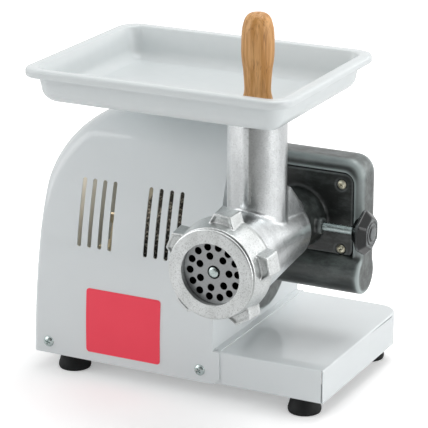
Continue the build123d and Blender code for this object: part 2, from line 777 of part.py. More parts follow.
def motor_shield(outer_x, inner_x, opening_angle):
    """A cast cup on one end of the stator, with a bearing hub and windows for the cooling air."""
    run = abs(inner_x - outer_x)
    into = 1 if inner_x > outer_x else -1
    face = Plane(origin=(outer_x, worm_y, worm_z), x_dir=(0, 1, 0), z_dir=(into, 0, 0))
    with BuildPart() as shield:
        with BuildSketch(face):
            Circle(stator_radius)
        extrude(amount=run)
        with BuildSketch(face.offset(shield_wall)):
            Circle(stator_radius - shield_wall)
        extrude(amount=run, mode=Mode.SUBTRACT)
        with BuildSketch(face):
            Circle(hub_radius)
            with PolarLocations(bolt_circle, 4, start_angle=45):
                Circle(3.6)
        extrude(amount=run)
        with BuildSketch(face):
            Circle(stator_radius + 4)
            Circle(stator_radius, mode=Mode.SUBTRACT)
        extrude(amount=run, mode=Mode.SUBTRACT)
        with BuildSketch(face):
            Circle(seat_radius)
            with PolarLocations(bolt_circle, 4, start_angle=45):
                Circle(2.2)
        extrude(amount=run, mode=Mode.SUBTRACT)
        with BuildSketch(face):
            with PolarLocations(34, 4, start_angle=opening_angle):
                Rectangle(24, 34)
            Circle(hub_radius + 2, mode=Mode.SUBTRACT)
        extrude(amount=shield_wall, mode=Mode.SUBTRACT)
    return shield.part


finish(motor_shield(front_shield_end, stator_right, 0), "motor_front_shield")
finish(motor_shield(rear_shield_left, stator_left, 0), "motor_rear_shield")

with BuildPart() as motor_bearings:
    for bearing_x in (rear_shield_left, front_shield_end - bearing_width):
        with BuildSketch(across(bearing_x)):
            Circle(seat_radius)
            Circle(shaft_radius + running, mode=Mode.SUBTRACT)
        extrude(amount=bearing_width)
finish(motor_bearings.part, "motor_bearings")

with BuildPart() as motor_bolts:
    with BuildSketch(across(rear_shield_left)):
        with PolarLocations(bolt_circle, 4, start_angle=45):
            Circle(2.1)
    extrude(amount=front_shield_end - rear_shield_left)
    with BuildSketch(across(rear_shield_left)):
        with PolarLocations(bolt_circle, 4, start_angle=45):
            RegularPolygon(4, 6)
    extrude(amount=-3)
finish(motor_bolts.part, "motor_bolts")

with BuildPart() as rotor_core:
    with BuildSketch(across(stator_left)):
        Circle(rotor_radius)
        Circle(shaft_radius, mode=Mode.SUBTRACT)
    extrude(amount=stator_right - stator_left)
finish(rotor_core.part, "rotor_core")

# Cooling fan: moulded hub and blades on the shaft's free end
fan_left = left_x + 45
fan_width = 15
fan_blades = 8
with BuildPart() as cooling_fan:
    with BuildSketch(across(fan_left)):
        Circle(15)
    extrude(amount=fan_width)
    with BuildSketch(across(fan_left + fan_width - 2)):
        Circle(46)
    extrude(amount=2)
    with BuildSketch(across(fan_left)):
        with PolarLocations(29, fan_blades):
            Rectangle(32, 2.2)
    extrude(amount=fan_width)
    with BuildSketch(across(fan_left)):
        Circle(shaft_radius)
    extrude(amount=fan_width, mode=Mode.SUBTRACT)
finish(cooling_fan.part, "cooling_fan")

# Motor saddle: folded bracket that carries the stator on the deck
saddle_left = left_x + 108
saddle_width = 36
with BuildPart() as motor_saddle:
    with BuildSketch(siding(saddle_left, worm_y, deck_z)):
        with Locations((0, 10)):
            Rectangle(78, 20)
        with Locations((0, 1)):
            Rectangle(84, 2)
    extrude(amount=saddle_width)
    with BuildSketch(across(saddle_left)):
        Circle(stator_radius)
    extrude(amount=saddle_width, mode=Mode.SUBTRACT)
    with BuildSketch(siding(saddle_left, worm_y, deck_z)):
        with Locations((0, 3)):
            Rectangle(50, 6)
    extrude(amount=saddle_width, mode=Mode.SUBTRACT)
finish(motor_saddle.part, "motor_saddle")

# Run capacitor: an aluminium can lying on the deck in a spring clip
can_radius = 17.5
can_length = 72
can_left = left_x + 95
can_y = front_y + 158
can_z = deck_z + can_radius + 2
can_plane = siding(can_left, can_y, can_z)
with BuildPart() as capacitor:
    with BuildSketch(can_plane):
        Circle(can_radius)
    extrude(amount=can_length)
    fillet(capacitor.edges().filter_by(GeomType.CIRCLE), radius=2)
    with BuildSketch(can_plane.offset(can_length)):
        with GridLocations(14, 1, 2, 1):
            Rectangle(1.2, 6.3)
    extrude(amount=9)
finish(capacitor.part, "capacitor")

with BuildPart() as capacitor_clip:
    with BuildSketch(can_plane.offset(26)):
        Circle(can_radius + 1.2)
        with Locations((0, -can_radius - 1)):
            Rectangle(34, 2)
        Circle(can_radius, mode=Mode.SUBTRACT)
        with Locations((0, can_radius)):
            Rectangle(14, 10, mode=Mode.SUBTRACT)
    extrude(amount=16)
finish(capacitor_clip.part, "capacitor_clip")

# Switch: rocker in a snap-in frame on the hood's back, and the cable gland beside it
frame_x = 24
frame_z = 30
rocker_x = 15
rocker_z = 21
rocker_tilt = 8
with BuildPart() as switch_frame:
    with BuildSketch(switch_plane):
        RectangleRounded(frame_x, frame_z, 2)
    extrude(amount=2)
    with BuildSketch(switch_plane):
        Rectangle(19.6, 25.6)
    extrude(amount=-20)
    with BuildSketch(switch_plane.offset(2)):
        Rectangle(rocker_x + 1.2, rocker_z + 2.4)
    extrude(amount=-12, mode=Mode.SUBTRACT)
    with BuildSketch(switch_plane.offset(-20)):
        with GridLocations(1, 8, 1, 3):
            Rectangle(6.3, 0.8)
    extrude(amount=-8)
finish(switch_frame.part, "switch_frame")

rocker_plane = switch_plane.rotated((rocker_tilt, 0, 0))
with BuildPart() as switch_rocker:
    with BuildSketch(Plane(origin=rocker_plane.origin, x_dir=rocker_plane.y_dir, z_dir=rocker_plane.x_dir)):
        with BuildLine():
            Polyline((-rocker_z / 2, 3.4), (0, 1.4), (rocker_z / 2, 3.4), (rocker_z / 2 - 1, -4),
                     (-rocker_z / 2 + 1, -4), close=True)
        make_face()
    extrude(amount=rocker_x / 2, both=True)
finish(switch_rocker.part, "switch_rocker")

with BuildPart() as cable_gland:
    with BuildSketch(gland_plane):
        Circle(11)
    extrude(amount=4, taper=12)
    with BuildSketch(gland_plane):
        Circle(7.4)
    extrude(amount=-14)
    with BuildSketch(gland_plane.offset(-3)):
        RegularPolygon(10.5, 6)
    extrude(amount=-5)
    with BuildSketch(gland_plane.offset(4)):
        Circle(3.6)
    extrude(amount=-18, mode=Mode.SUBTRACT)
finish(cable_gland.part, "cable_gland")
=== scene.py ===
from math import asin, cos, exp, radians, sin, sqrt, tan, tau

import bmesh
import bpy
from mathutils import Matrix, Vector


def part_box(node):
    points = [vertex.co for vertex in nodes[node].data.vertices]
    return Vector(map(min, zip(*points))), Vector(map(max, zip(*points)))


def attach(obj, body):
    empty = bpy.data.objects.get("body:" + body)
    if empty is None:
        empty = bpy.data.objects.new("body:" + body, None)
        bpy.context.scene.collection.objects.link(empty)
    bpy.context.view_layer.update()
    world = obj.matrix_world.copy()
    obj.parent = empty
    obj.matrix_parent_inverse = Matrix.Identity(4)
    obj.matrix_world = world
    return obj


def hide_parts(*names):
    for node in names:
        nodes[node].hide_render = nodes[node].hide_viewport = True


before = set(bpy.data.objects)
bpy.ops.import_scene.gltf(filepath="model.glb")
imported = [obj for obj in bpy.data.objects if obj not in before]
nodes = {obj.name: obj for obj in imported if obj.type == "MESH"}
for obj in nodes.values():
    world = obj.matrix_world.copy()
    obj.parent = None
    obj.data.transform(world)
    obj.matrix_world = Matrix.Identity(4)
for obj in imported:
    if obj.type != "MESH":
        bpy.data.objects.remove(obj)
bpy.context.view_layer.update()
scene = bpy.context.scene
mm = 0.001
hair = 0.001 * mm
right_angle = radians(90)

# Base pan: one sheet of 1.2 mm steel, folded down all round and powder coated white. The front right corner
# is left open, and the right wall is only tacked at the back, so a dark seam opens along its top edge.
# Lips turned in underneath carry the feet.
pan_low, pan_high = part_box("base_pan")
sheet = 1.2 * mm
bend = 1.8 * mm
bend_steps = 5
corner_gap = 1.7 * mm
left_corner = 6 * mm
rear_corner = 20 * mm
corner_points = 10
side_points = 30
seam_share = 0.32
seam_widest = 1.3 * mm
seam_curl = 0.8
lip_width = 42 * mm
lip_taper = 6 * mm


def colour(code):
    """An sRGB hex code as the linear colour that the sockets take."""
    parts = [int(code[i:i + 2], 16) / 255 for i in (1, 3, 5)]
    return (*[c / 12.92 if c <= 0.04045 else ((c + 0.055) / 1.055) ** 2.4 for c in parts], 1)


def set_inputs(tree, target, inputs):
    """Each input takes a constant, a hex code, a socket, or a node for its first output in use."""
    for name, value in inputs.items():
        if isinstance(value, bpy.types.Node):
            value = next(output for output in value.outputs if output.enabled)
        if isinstance(value, bpy.types.NodeSocket):
            tree.links.new(value, target.inputs[name])
        else:
            is_code = isinstance(value, str) and value.startswith("#")
            target.inputs[name].default_value = colour(value) if is_code else value


def node(tree, kind, inputs, **settings):
    """Adds one node, a shader's unless its kind says Geometry, with its settings and inputs."""
    made = tree.nodes.new(kind if kind.startswith("Geometry") else "ShaderNode" + kind)
    for name, value in settings.items():
        setattr(made, name, value)
    set_inputs(tree, made, inputs)
    return made


def begin_material(name):
    """A new material, its tree, and the coordinates of the piece that wears it."""
    material = bpy.data.materials.new(name)
    material.use_nodes = True
    tree = material.node_tree
    return material, tree, node(tree, "TexCoord", {}).outputs["Object"]


def finish_material(material, tone, roughness, bump=None, **constants):
    """Sets what the material's shader takes and returns the material."""
    tree = material.node_tree
    inputs = {"Base Color": tone, "Roughness": roughness, **constants}
    if bump:
        inputs["Normal"] = bump
    set_inputs(tree, tree.nodes["Principled BSDF"], inputs)
    return material


def paint(piece, material):
    """Gives every face of a piece one material."""
    piece.data.materials.clear()
    piece.data.materials.append(material)


def add_object(name, data):
    """A new object in the scene."""
    made = bpy.data.objects.new(name, data)
    scene.collection.objects.link(made)
    return made


def make_piece(name, bm, sharp=35):
    """A mesh object from a bmesh, smooth apart from edges sharper than the given angle."""
    mesh = bpy.data.meshes.new(name)
    bm.to_mesh(mesh)
    bm.free()
    mesh.shade_smooth()
    mesh.set_sharp_from_angle(angle=radians(sharp))
    return add_object(name, mesh)


def settle(piece, sharp=35):
    """Turns a piece with modifiers into a plain mesh and removes the modifiers."""
    drawn = piece.evaluated_get(bpy.context.evaluated_depsgraph_get())
    mesh = bpy.data.meshes.new_from_object(drawn)
    piece.modifiers.clear()
    piece.data = mesh
    mesh.shade_smooth()
    mesh.set_sharp_from_angle(angle=radians(sharp))
    return piece


def thicken(piece, depth, offset=-1):
    """Gives a sheet its thickness, behind its faces or, with an offset of 1, in front of them."""
    thickness = piece.modifiers.new("thickness", "SOLIDIFY")
    thickness.thickness = depth
    thickness.offset = offset
    return piece


def mottled_skin(name, base, mottle, cloud, grain, relief, roughness, **constants):
    """Two close tones that drift into each other under a fine grain. Cloud and grain are (size in mm,
    detail), relief is (strength, depth in mm), and a pair as roughness follows the cloud."""
    material, tree, place = begin_material(name)
    drift, fine = [node(tree, "TexNoise", {"Vector": place, "Scale": 1 / (size * mm), "Detail": detail})
                   for size, detail in (cloud, grain)]
    tone = node(tree, "MixRGB", {"Fac": drift, "Color1": base, "Color2": mottle})
    if isinstance(roughness, tuple):
        roughness = node(tree, "MapRange", {"Value": drift, "To Min": roughness[0], "To Max": roughness[1]})
    bump = node(tree, "Bump", {"Height": fine, "Strength": relief[0], "Distance": relief[1] * mm})
    return finish_material(material, tone, roughness, bump, **constants)


def spread(start, end, steps):
    """Even steps from start to end, with both."""
    return [start + (end - start) * i / steps for i in range(steps + 1)]


def arc(x, y, radius, start, sweep, steps):
    """Points round a middle, from one angle through a sweep, both in degrees."""
    turns = [radians(start + sweep * i / steps) for i in range(steps + 1)]
    return [(x + radius * cos(turn), y + radius * sin(turn)) for turn in turns]


def pan_outline(inset):
    """The pan's outline drawn in by an inset, from the open front right corner round by the left side."""
    open_by = bend - (bend - corner_gap) * (1 - inset / bend)
    points = [(pan_high.x - open_by, pan_low.y + inset)]
    for middle_x, middle_y, radius, start in (
            (pan_low.x + left_corner, pan_low.y + left_corner, left_corner, 270),
            (pan_low.x + rear_corner, pan_high.y - rear_corner, rear_corner, 180),
            (pan_high.x - rear_corner, pan_high.y - rear_corner, rear_corner, 90)):
        points += arc(middle_x, middle_y, radius - inset, start, -90, corner_points)
    side = spread(pan_high.y - rear_corner, pan_low.y + open_by, side_points)[1:]
    return points + [(pan_high.x - inset, y) for y in side]


def lay_faces(bm, upper, lower):
    """Quads between two rows of vertices, and triangles where the rows share a corner."""
    for i in range(len(upper) - 1):
        corners = list(dict.fromkeys((upper[i], upper[i + 1], lower[i + 1], lower[i])))
        if len(corners) > 2:
            bm.faces.new(corners)


pan_sheet = bmesh.new()
bend_rows = []
for step in range(bend_steps + 1):
    turn = right_angle * step / bend_steps
    bend_z = pan_high.z - bend * (1 - cos(turn))
    outline = pan_outline(bend * (1 - sin(turn)))
    bend_rows.append([pan_sheet.verts.new((x, y, bend_z)) for x, y in outline])
bend_rows[0][-1] = bend_rows[0][0]
pan_sheet.faces.new(bend_rows[0][:-1])
for upper, lower in zip(bend_rows, bend_rows[1:]):
    lay_faces(pan_sheet, upper, lower)
side_first = len(bend_rows[-1]) - side_points
wall_top = []
for i, vert in enumerate(bend_rows[-1]):
    along = (i - side_first) / (side_points * seam_share)
    if 0 <= along < 1:
        opened = seam_widest * (1 - along) ** seam_curl
        vert = pan_sheet.verts.new(vert.co - Vector((0, 0, opened)))
    wall_top.append(vert)
wall_foot = [pan_sheet.verts.new((vert.co.x, vert.co.y, pan_low.z + bend)) for vert in wall_top]
wall_edge = [pan_sheet.verts.new((vert.co.x, vert.co.y, pan_low.z)) for vert in wall_top]
lay_faces(pan_sheet, wall_top, wall_foot)
front_run = 0
rear_run = 2 * (corner_points + 1)
for i in range(len(wall_foot) - 1):
    if i not in (front_run, rear_run):
        lay_faces(pan_sheet, wall_foot[i:i + 2], wall_edge[i:i + 2])
for run, inward in ((front_run, Vector((0, 1, 0))), (rear_run, Vector((0, -1, 0)))):
    left, right = wall_foot[run:run + 2]
    along = (right.co - left.co).normalized()
    row = [left, right]
    for step in range(1, bend_steps + 2):
        turn = right_angle * min(step, bend_steps) / bend_steps
        shift = inward * bend * (1 - cos(turn)) - Vector((0, 0, bend * sin(turn)))
        draw_in = Vector()
        if step > bend_steps:
            shift += inward * (lip_width - bend)
            draw_in = along * lip_taper
        ends = (left.co + shift + draw_in, right.co + shift - draw_in)
        new_row = [pan_sheet.verts.new(end) for end in ends]
        lay_faces(pan_sheet, row, new_row)
        row = new_row
loose = [vert for vert in pan_sheet.verts if not vert.link_faces]
bmesh.ops.delete(pan_sheet, geom=loose)
bmesh.ops.recalc_face_normals(pan_sheet, faces=pan_sheet.faces)
pan = make_piece("folded_pan", pan_sheet)
if pan.data.polygons[0].normal.z < 0:
    pan.data.flip_normals()
settle(thicken(pan, sheet))
# Polyester powder, baked: pale and glossy, with a faint orange peel about 2 mm across.
enamel = mottled_skin("white_powder_coat", base="#E3E8E9", mottle="#DDE2E4", cloud=(70, 3), grain=(2.2, 2),
                      relief=(0.04, 0.1), roughness=(0.05, 0.1), IOR=1.5)
paint(pan, enamel)
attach(pan, "machine")
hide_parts("base_pan")

# Feet: moulded rubber buffers, wider where they stand, each drawn up into the pan by a screw.
# The mould leaves a soft round at the foot and a dull, slightly grainy skin.
foot_low, foot_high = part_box("rubber_feet")
foot_radius = 16 * mm
foot_top = 13 * mm
foot_height = foot_high.z - foot_low.z
foot_bore = 6 * mm
foot_skirt = ((14, 0), (15.4, 0.6), (16, 2.2), (16, 4.5), (14.8, 8.5), (13.6, 13))
foot_turns = 48


def metres(table):
    """A table of pairs in millimetres, in metres."""
    return [(first * mm, second * mm) for first, second in table]


def lay_round(bm, lower, upper):
    """Faces between two closed rings of vertices."""
    lay_faces(bm, lower + lower[:1], upper + upper[:1])


def lathe(bm, profile, centre, axis, turns):
    """Turns a closed profile of (radius, distance along the axis) points into a ring or a solid."""
    across = axis.orthogonal().normalized()
    spokes = [Matrix.Rotation(tau * i / turns, 3, axis) @ across for i in range(turns)]
    rings = []
    for radius, along in profile:
        middle = centre + axis * along
        if radius < hair:
            rings.append([bm.verts.new(middle)] * turns)
        else:
            rings.append([bm.verts.new(middle + spoke * radius) for spoke in spokes])
    for lower, upper in zip(rings, rings[1:] + rings[:1]):
        lay_round(bm, lower, upper)
    bmesh.ops.recalc_face_normals(bm, faces=bm.faces)


def turned_piece(name, profile, centre, axis, turns, sharp=35):
    """One piece off the lathe."""
    bm = bmesh.new()
    lathe(bm, profile, centre, axis, turns)
    return make_piece(name, bm, sharp)


feet_form = bmesh.new()
foot_profile = [(foot_bore, 0)] + metres(foot_skirt) + [(foot_top, foot_height), (foot_bore, foot_height)]
for foot_x in (foot_low.x + foot_radius, foot_high.x - foot_radius):
    for foot_y in (foot_low.y + foot_radius, foot_high.y - foot_radius):
        lathe(feet_form, foot_profile, Vector((foot_x, foot_y, 0)), Vector((0, 0, 1)), foot_turns)
feet = make_piece("rubber_buffers", feet_form, sharp=50)
# Natural rubber: near black and dull, with a grey bloom and a grain under a millimetre.
paint(feet, mottled_skin("moulded_rubber", base="#08090A", mottle="#0F1213", cloud=(9, 4), grain=(0.8, 2),
                         relief=(0.15, 0.1), roughness=0.62, IOR=1.4))
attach(feet, "machine")
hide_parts("rubber_feet")

# Hood: one drawn sheet over the motor, powder coated with the base. Front and back lean in on a wide
# arc and round over to the crown, and the closed left end leans and rounds over further.
# A tab at each lower right corner laps onto the base.
hood_low, hood_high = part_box("hood")
hood_right = hood_low.x + 197 * mm
hood_back = hood_low.y + 192 * mm
hood_crown = hood_high.z - hood_low.z
hood_upright = 20 * mm
hood_wide = 558 * mm
hood_brow = 52 * mm
hood_lean = radians(1.8)
hood_round = 89 * mm
hood_sharp = 40
corner_small = 5 * mm
corner_large = 26 * mm
corner_growth = 1.5
corner_most = 0.48
tab_high = 33 * mm
tab_right = hood_high.x
tab_chamfer = 6 * mm
tab_levels = [0, tab_chamfer, 13 * mm, hood_upright, 26 * mm, tab_high]
brow_z = hood_crown - hood_brow
brow_tilt = asin((brow_z - hood_upright) / (hood_wide - hood_brow))
brow_in = hood_wide - (hood_wide - hood_brow) * cos(brow_tilt)
round_z = hood_crown - hood_round
round_in = hood_round / cos(hood_lean) + round_z * tan(hood_lean)
front_columns = 36
corner_columns = 10
left_columns = 30
top_run = 80 * mm
top_steps = 34
rise_steps = 18


def front_inset(height):
    """How far the hood's front has come in at a height above its lower edge."""
    if height <= hood_upright:
        return 0
    if height < brow_z + hood_brow * sin(brow_tilt):
        return hood_wide - sqrt(hood_wide ** 2 - (height - hood_upright) ** 2)
    return brow_in - sqrt(max(hood_brow ** 2 - (height - brow_z) ** 2, 0))


def left_inset(height):
    """How far the hood's left end has come in at a height above its lower edge."""
    if height < round_z + hood_round * sin(hood_lean):
        return height * tan(hood_lean)
    return round_in - sqrt(max(hood_round ** 2 - (height - round_z) ** 2, 0))


def hood_ring(height):
    """The hood's outline at a height, from the front's right end round the left end to the back."""
    left = hood_low.x + left_inset(height)
    front = hood_low.y + front_inset(height)
    back = hood_back - front_inset(height)
    swell = max(0, (height - hood_crown / 2) / (hood_crown / 2)) ** corner_growth
    corner = min(corner_small + (corner_large - corner_small) * swell, (back - front) * corner_most)
    outline = [(x, front) for x in spread(hood_right, left + corner, front_columns)[:-1]]
    outline += arc(left + corner, front + corner, corner, 270, -90, corner_columns)[:-1]
    outline += [(left, y) for y in spread(front + corner, back - corner, left_columns)[:-1]]
    outline += arc(left + corner, back - corner, corner, 180, -90, corner_columns)[:-1]
    outline += [(x, back) for x in spread(left + corner, hood_right, front_columns)]
    return [(x, y, hood_low.z + height) for x, y in outline]


hood_form = bmesh.new()
levels = tab_levels + spread(tab_high, hood_crown - top_run, rise_steps)[1:-1]
for i in range(top_steps):
    levels.append(hood_crown - top_run * (1 - sin(right_angle * i / top_steps)))
levels.append(hood_crown)
rings = [[hood_form.verts.new(point) for point in hood_ring(level)] for level in levels]
for lower, upper in zip(rings, rings[1:]):
    for i in range(len(lower) - 1):
        hood_form.faces.new((lower[i], upper[i], upper[i + 1], lower[i + 1]))
hood_form.faces.new(reversed(rings[-1]))
for end in (0, -1):
    tab = []
    for level, ring in zip(levels, rings):
        if level <= tab_high:
            reach = tab_right - max(0, tab_chamfer - level)
            tab.append((hood_form.verts.new((reach, ring[end].co.y, ring[end].co.z)), ring[end]))
    for (outer_low, inner_low), (outer_high, inner_high) in zip(tab, tab[1:]):
        corners = (outer_low, outer_high, inner_high, inner_low)
        hood_form.faces.new(corners if end == 0 else reversed(corners))
hood = thicken(make_piece("drawn_hood", hood_form, sharp=hood_sharp), sheet)

# Ventilation slots: two groups of four with round ends, punched through the hood's front before it is
# coated, so that the coat runs over their edges. The motor shows behind them.
slot_width = 4.4 * mm
slot_low = 112.8 * mm
slot_high = 178.4 * mm
slot_pitch = 11.1 * mm
slot_groups = (65.6 * mm, 137.6 * mm)
slots_in_group = 4
slot_depth = 40 * mm
almost_half = 0.499


def repeat_tree(name, sizes):
    """A new Geometry Nodes tree with a float input for each named size, and its ends."""
    tree = bpy.data.node_groups.new(name, "GeometryNodeTree")
    sockets = [("Geometry", "INPUT", "Geometry")] + [(size, "INPUT", "Float") for size in sizes]
    sockets += [("Material", "INPUT", "Material"), ("Geometry", "OUTPUT", "Geometry")]
    for socket, end, kind in sockets:
        tree.interface.new_socket(socket, in_out=end, socket_type="NodeSocket" + kind)
    return tree, tree.nodes.new("NodeGroupInput").outputs, tree.nodes.new("NodeGroupOutput")


def put_on_points(tree, given, result, form):
    """Ends a tree: the form on every point, turned as the point says, as one mesh in one material."""
    turn = node(tree, "GeometryNodeInputNamedAttribute", {"Name": "turn"}, data_type="FLOAT_VECTOR")
    placed = node(tree, "GeometryNodeInstanceOnPoints",
                  {"Points": given["Geometry"], "Instance": form, "Rotation": turn})
    real = node(tree, "GeometryNodeRealizeInstances", {"Geometry": placed})
    coated = node(tree, "GeometryNodeSetMaterial", {"Geometry": real, "Material": given["Material"]})
    set_inputs(tree, result, {"Geometry": coated})


def repeat_on(name, places, turns, tree, values):
    """Runs a tree on a list of points, each with its own turn, and returns the plain mesh object."""
    mesh = bpy.data.meshes.new(name)
    mesh.from_pydata(places, [], [])
    aim = mesh.attributes.new("turn", "FLOAT_VECTOR", "POINT")
    for entry, turn in zip(aim.data, turns):
        entry.vector = turn
    piece = add_object(name, mesh)
    modifier = piece.modifiers.new("repeat", "NODES")
    modifier.node_group = tree
    for item in tree.interface.items_tree:
        if item.in_out == "INPUT" and item.name in values:
            modifier[item.identifier] = values[item.name]
    return settle(piece)


def combine(piece, tool, operation, sharp):
    """Cuts a tool out of a piece or joins it on, and removes the tool."""
    modifier = piece.modifiers.new("combine", "BOOLEAN")
    modifier.operation = operation
    modifier.object = tool
    modifier.solver = "EXACT"
    settle(piece, sharp)
    bpy.data.objects.remove(tool)


slots, given, result = repeat_tree("vent_slots", ("Slot Width", "Slot Length", "Depth"))
oblong = node(slots, "GeometryNodeCurvePrimitiveQuadrilateral",
              {"Width": given["Slot Width"], "Height": given["Slot Length"]})
half_width = node(slots, "Math", {0: given["Slot Width"], 1: almost_half}, operation="MULTIPLY")
rounded = node(slots, "GeometryNodeFilletCurve", {"Curve": oblong, "Radius": half_width, "Count": 8},
               mode="POLY")
face = node(slots, "GeometryNodeFillCurve", {"Curve": rounded}, mode="NGONS")
pushed = node(slots, "GeometryNodeExtrudeMesh",
              {"Mesh": face, "Offset Scale": given["Depth"], "Individual": False})
cap = node(slots, "GeometryNodeFlipFaces", {"Mesh": face})
closed = node(slots, "GeometryNodeJoinGeometry", {})
for part in (pushed, cap):
    set_inputs(slots, closed, {"Geometry": part})
welded = node(slots, "GeometryNodeMergeByDistance", {"Geometry": closed, "Distance": hair})
put_on_points(slots, given, result, welded)
slot_places = []
for group in slot_groups:
    for i in range(slots_in_group):
        slot_x = hood_low.x + group + slot_pitch * (i - (slots_in_group - 1) / 2)
        slot_places.append((slot_x, hood_low.y + slot_depth, hood_low.z + (slot_low + slot_high) / 2))
punch = repeat_on("slot_punch", slot_places, [(right_angle, 0, 0)] * len(slot_places), slots,
                  {"Slot Width": slot_width, "Slot Length": slot_high - slot_low, "Depth": slot_depth,
                   "Material": enamel})
combine(hood, punch, "DIFFERENCE", hood_sharp)
paint(hood, enamel)
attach(hood, "machine")
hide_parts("hood")

# Right end plate: the flat sheet that closes the hood towards the gearbox and is flanged on the deck. It is
# cut from the base's steel and coated with the rest.
paint(nodes["right_end_plate"], enamel)

# Name plate: a thin aluminium plate with round corners in red stoving enamel, stuck low on the hood's front
# and bent to its curve. It is left without words.
badge_left = hood_low.x + 60 * mm
badge_right = hood_low.x + 140.6 * mm
badge_foot = 9.5 * mm
badge_height = 74 * mm - badge_foot
badge_corner = 3.2 * mm
badge_thickness = 0.5 * mm
badge_gap = 0.05 * mm
badge_rows = 30
corner_rows = 6

badge_form = bmesh.new()
corner_steps = [badge_corner * (1 - cos(right_angle * i / corner_rows)) for i in range(corner_rows)]
heights = corner_steps + spread(badge_corner, badge_height - badge_corner, badge_rows)
heights += [badge_height - step for step in reversed(corner_steps)]
rows = []
for height in heights:
    dip = max(0, badge_corner - min(height, badge_height - height))
    tuck = badge_corner - sqrt(max(badge_corner ** 2 - dip ** 2, 0))
    y = hood_low.y + front_inset(badge_foot + height) - badge_gap
    z = hood_low.z + badge_foot + height
    rows.append([badge_form.verts.new((x, y, z)) for x in (badge_left + tuck, badge_right - tuck)])
for lower, upper in zip(rows, rows[1:]):
    lay_faces(badge_form, lower, upper)
name_plate = settle(thicken(make_piece("bare_name_plate", badge_form), badge_thickness, offset=1))
# Stoving enamel: even and half glossy, with the slightest ripple.
paint(name_plate, mottled_skin("red_stoving_enamel", base="#FF465C", mottle="#FB4057", cloud=(25, 2),
                               grain=(6, 2), relief=(0.04, 0.2), roughness=0.36, IOR=1.5))
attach(name_plate, "machine")

# Motor: laminated stator with varnished windings between two cast shields, on a folded saddle, with its
# fan and run capacitor. It shows only through the slots.
varnish_red = "#7A4034"
varnish_dark = "#4A241C"
lamination_dark = "#2C2C2D"
lamination_light = "#8C8A84"
pit_and_reflection_grey = "#6E6F6C"


def wound_copper(name):
    """Enamelled wire dipped in varnish: red brown, banded by the wires, with a wet gloss."""
    material, tree, place = begin_material(name)
    wires = node(tree, "TexWave", {"Vector": place, "Scale": 1 / (9 * mm), "Distortion": 3, "Detail": 2},
                 bands_direction="DIAGONAL").outputs["Fac"]
    tone = node(tree, "MixRGB", {"Fac": wires, "Color1": varnish_dark, "Color2": varnish_red})
    bump = node(tree, "Bump", {"Height": wires, "Strength": 0.6, "Distance": 0.8 * mm})
    return finish_material(material, tone, 0.35, bump, IOR=1.5)


def stacked_laminations(name):
    """Varnished electrical steel in 0.5 mm sheets, drawn 1.5 mm apart so that they show, with bare specks."""
    material, tree, place = begin_material(name)
    sheets = node(tree, "TexWave", {"Vector": place, "Scale": 1 / (4.5 * mm), "Distortion": 0.5},
                  bands_direction="X").outputs["Fac"]
    specks = node(tree, "TexNoise", {"Vector": place, "Scale": 1 / (2.5 * mm), "Detail": 4})
    chipped = node(tree, "MapRange", {"Value": specks, "From Min": 0.52, "From Max": 0.62})
    tone = node(tree, "MixRGB", {"Fac": chipped, "Color1": lamination_dark, "Color2": lamination_light})
    bump = node(tree, "Bump", {"Height": sheets, "Strength": 0.5, "Distance": 0.3 * mm})
    return finish_material(material, tone, 0.45, bump, Metallic=0.6)


def cast_metal(name, light, dark, roughness, grain=1.6, speckle=0.3, painted_reflection=None):
    """Tumbled cast metal: a sandy skin with dull specks, soft clouds, and painted shade in crevices."""
    material, tree, place = begin_material(name)
    drawn = node(tree, "Mapping", {"Vector": place, "Scale": (1, 1, 0.4)})
    cloud = node(tree, "TexNoise", {"Vector": drawn, "Scale": 1 / (26 * mm), "Detail": 6, "Roughness": 0.62})
    patches = node(tree, "MapRange", {"Value": cloud, "From Min": 0.36, "From Max": 0.66})
    tone = node(tree, "MixRGB", {"Fac": patches, "Color1": dark, "Color2": light})
    skin = node(tree, "TexNoise", {"Vector": place, "Scale": 1 / (grain * mm), "Detail": 5, "Roughness": 0.7})
    pits = node(tree, "MapRange", {"Value": skin, "From Min": 0.5, "From Max": 0.32, "To Max": speckle})
    tone = node(tree, "MixRGB", {"Fac": pits, "Color1": tone, "Color2": pit_and_reflection_grey})
    # A painted dark reflection, where the piece carries the attribute.
    if painted_reflection:
        painted_band = node(tree, "Attribute", {}, attribute_name=painted_reflection).outputs["Fac"]
        tone = node(tree, "MixRGB", {"Fac": painted_band, "Color1": tone, "Color2": pit_and_reflection_grey})
    # Painted shade: ambient occlusion darkens the tone in crevices.
    shade = node(tree, "AmbientOcclusion", {"Color": tone, "Distance": 4 * mm}, samples=8)
    dull = node(tree, "MapRange", {"Value": skin, "To Min": roughness + 0.14, "To Max": roughness - 0.1})
    bump = node(tree, "Bump", {"Height": skin, "Strength": 0.3, "Distance": 0.25 * mm})
    return finish_material(material, shade, dull, bump, Metallic=1.0)


def moulded_plastic(name, base, mottle, roughness):
    """Filled plastic from a steel mould: even, with a fine spark-eroded grain."""
    return mottled_skin(name, base, mottle, (12, 3), (0.6, 2), (0.1, 0.05), roughness, IOR=1.5)


def plated_steel(name, light, dark, roughness):
    """Plated or ground metal: bright, with fine tool marks about a millimetre across."""
    marks = (1.2, 5)
    uneven = (roughness + 0.08, roughness - 0.08)
    return mottled_skin(name, dark, light, marks, marks, (0.08, 0.08), uneven, Metallic=1.0)


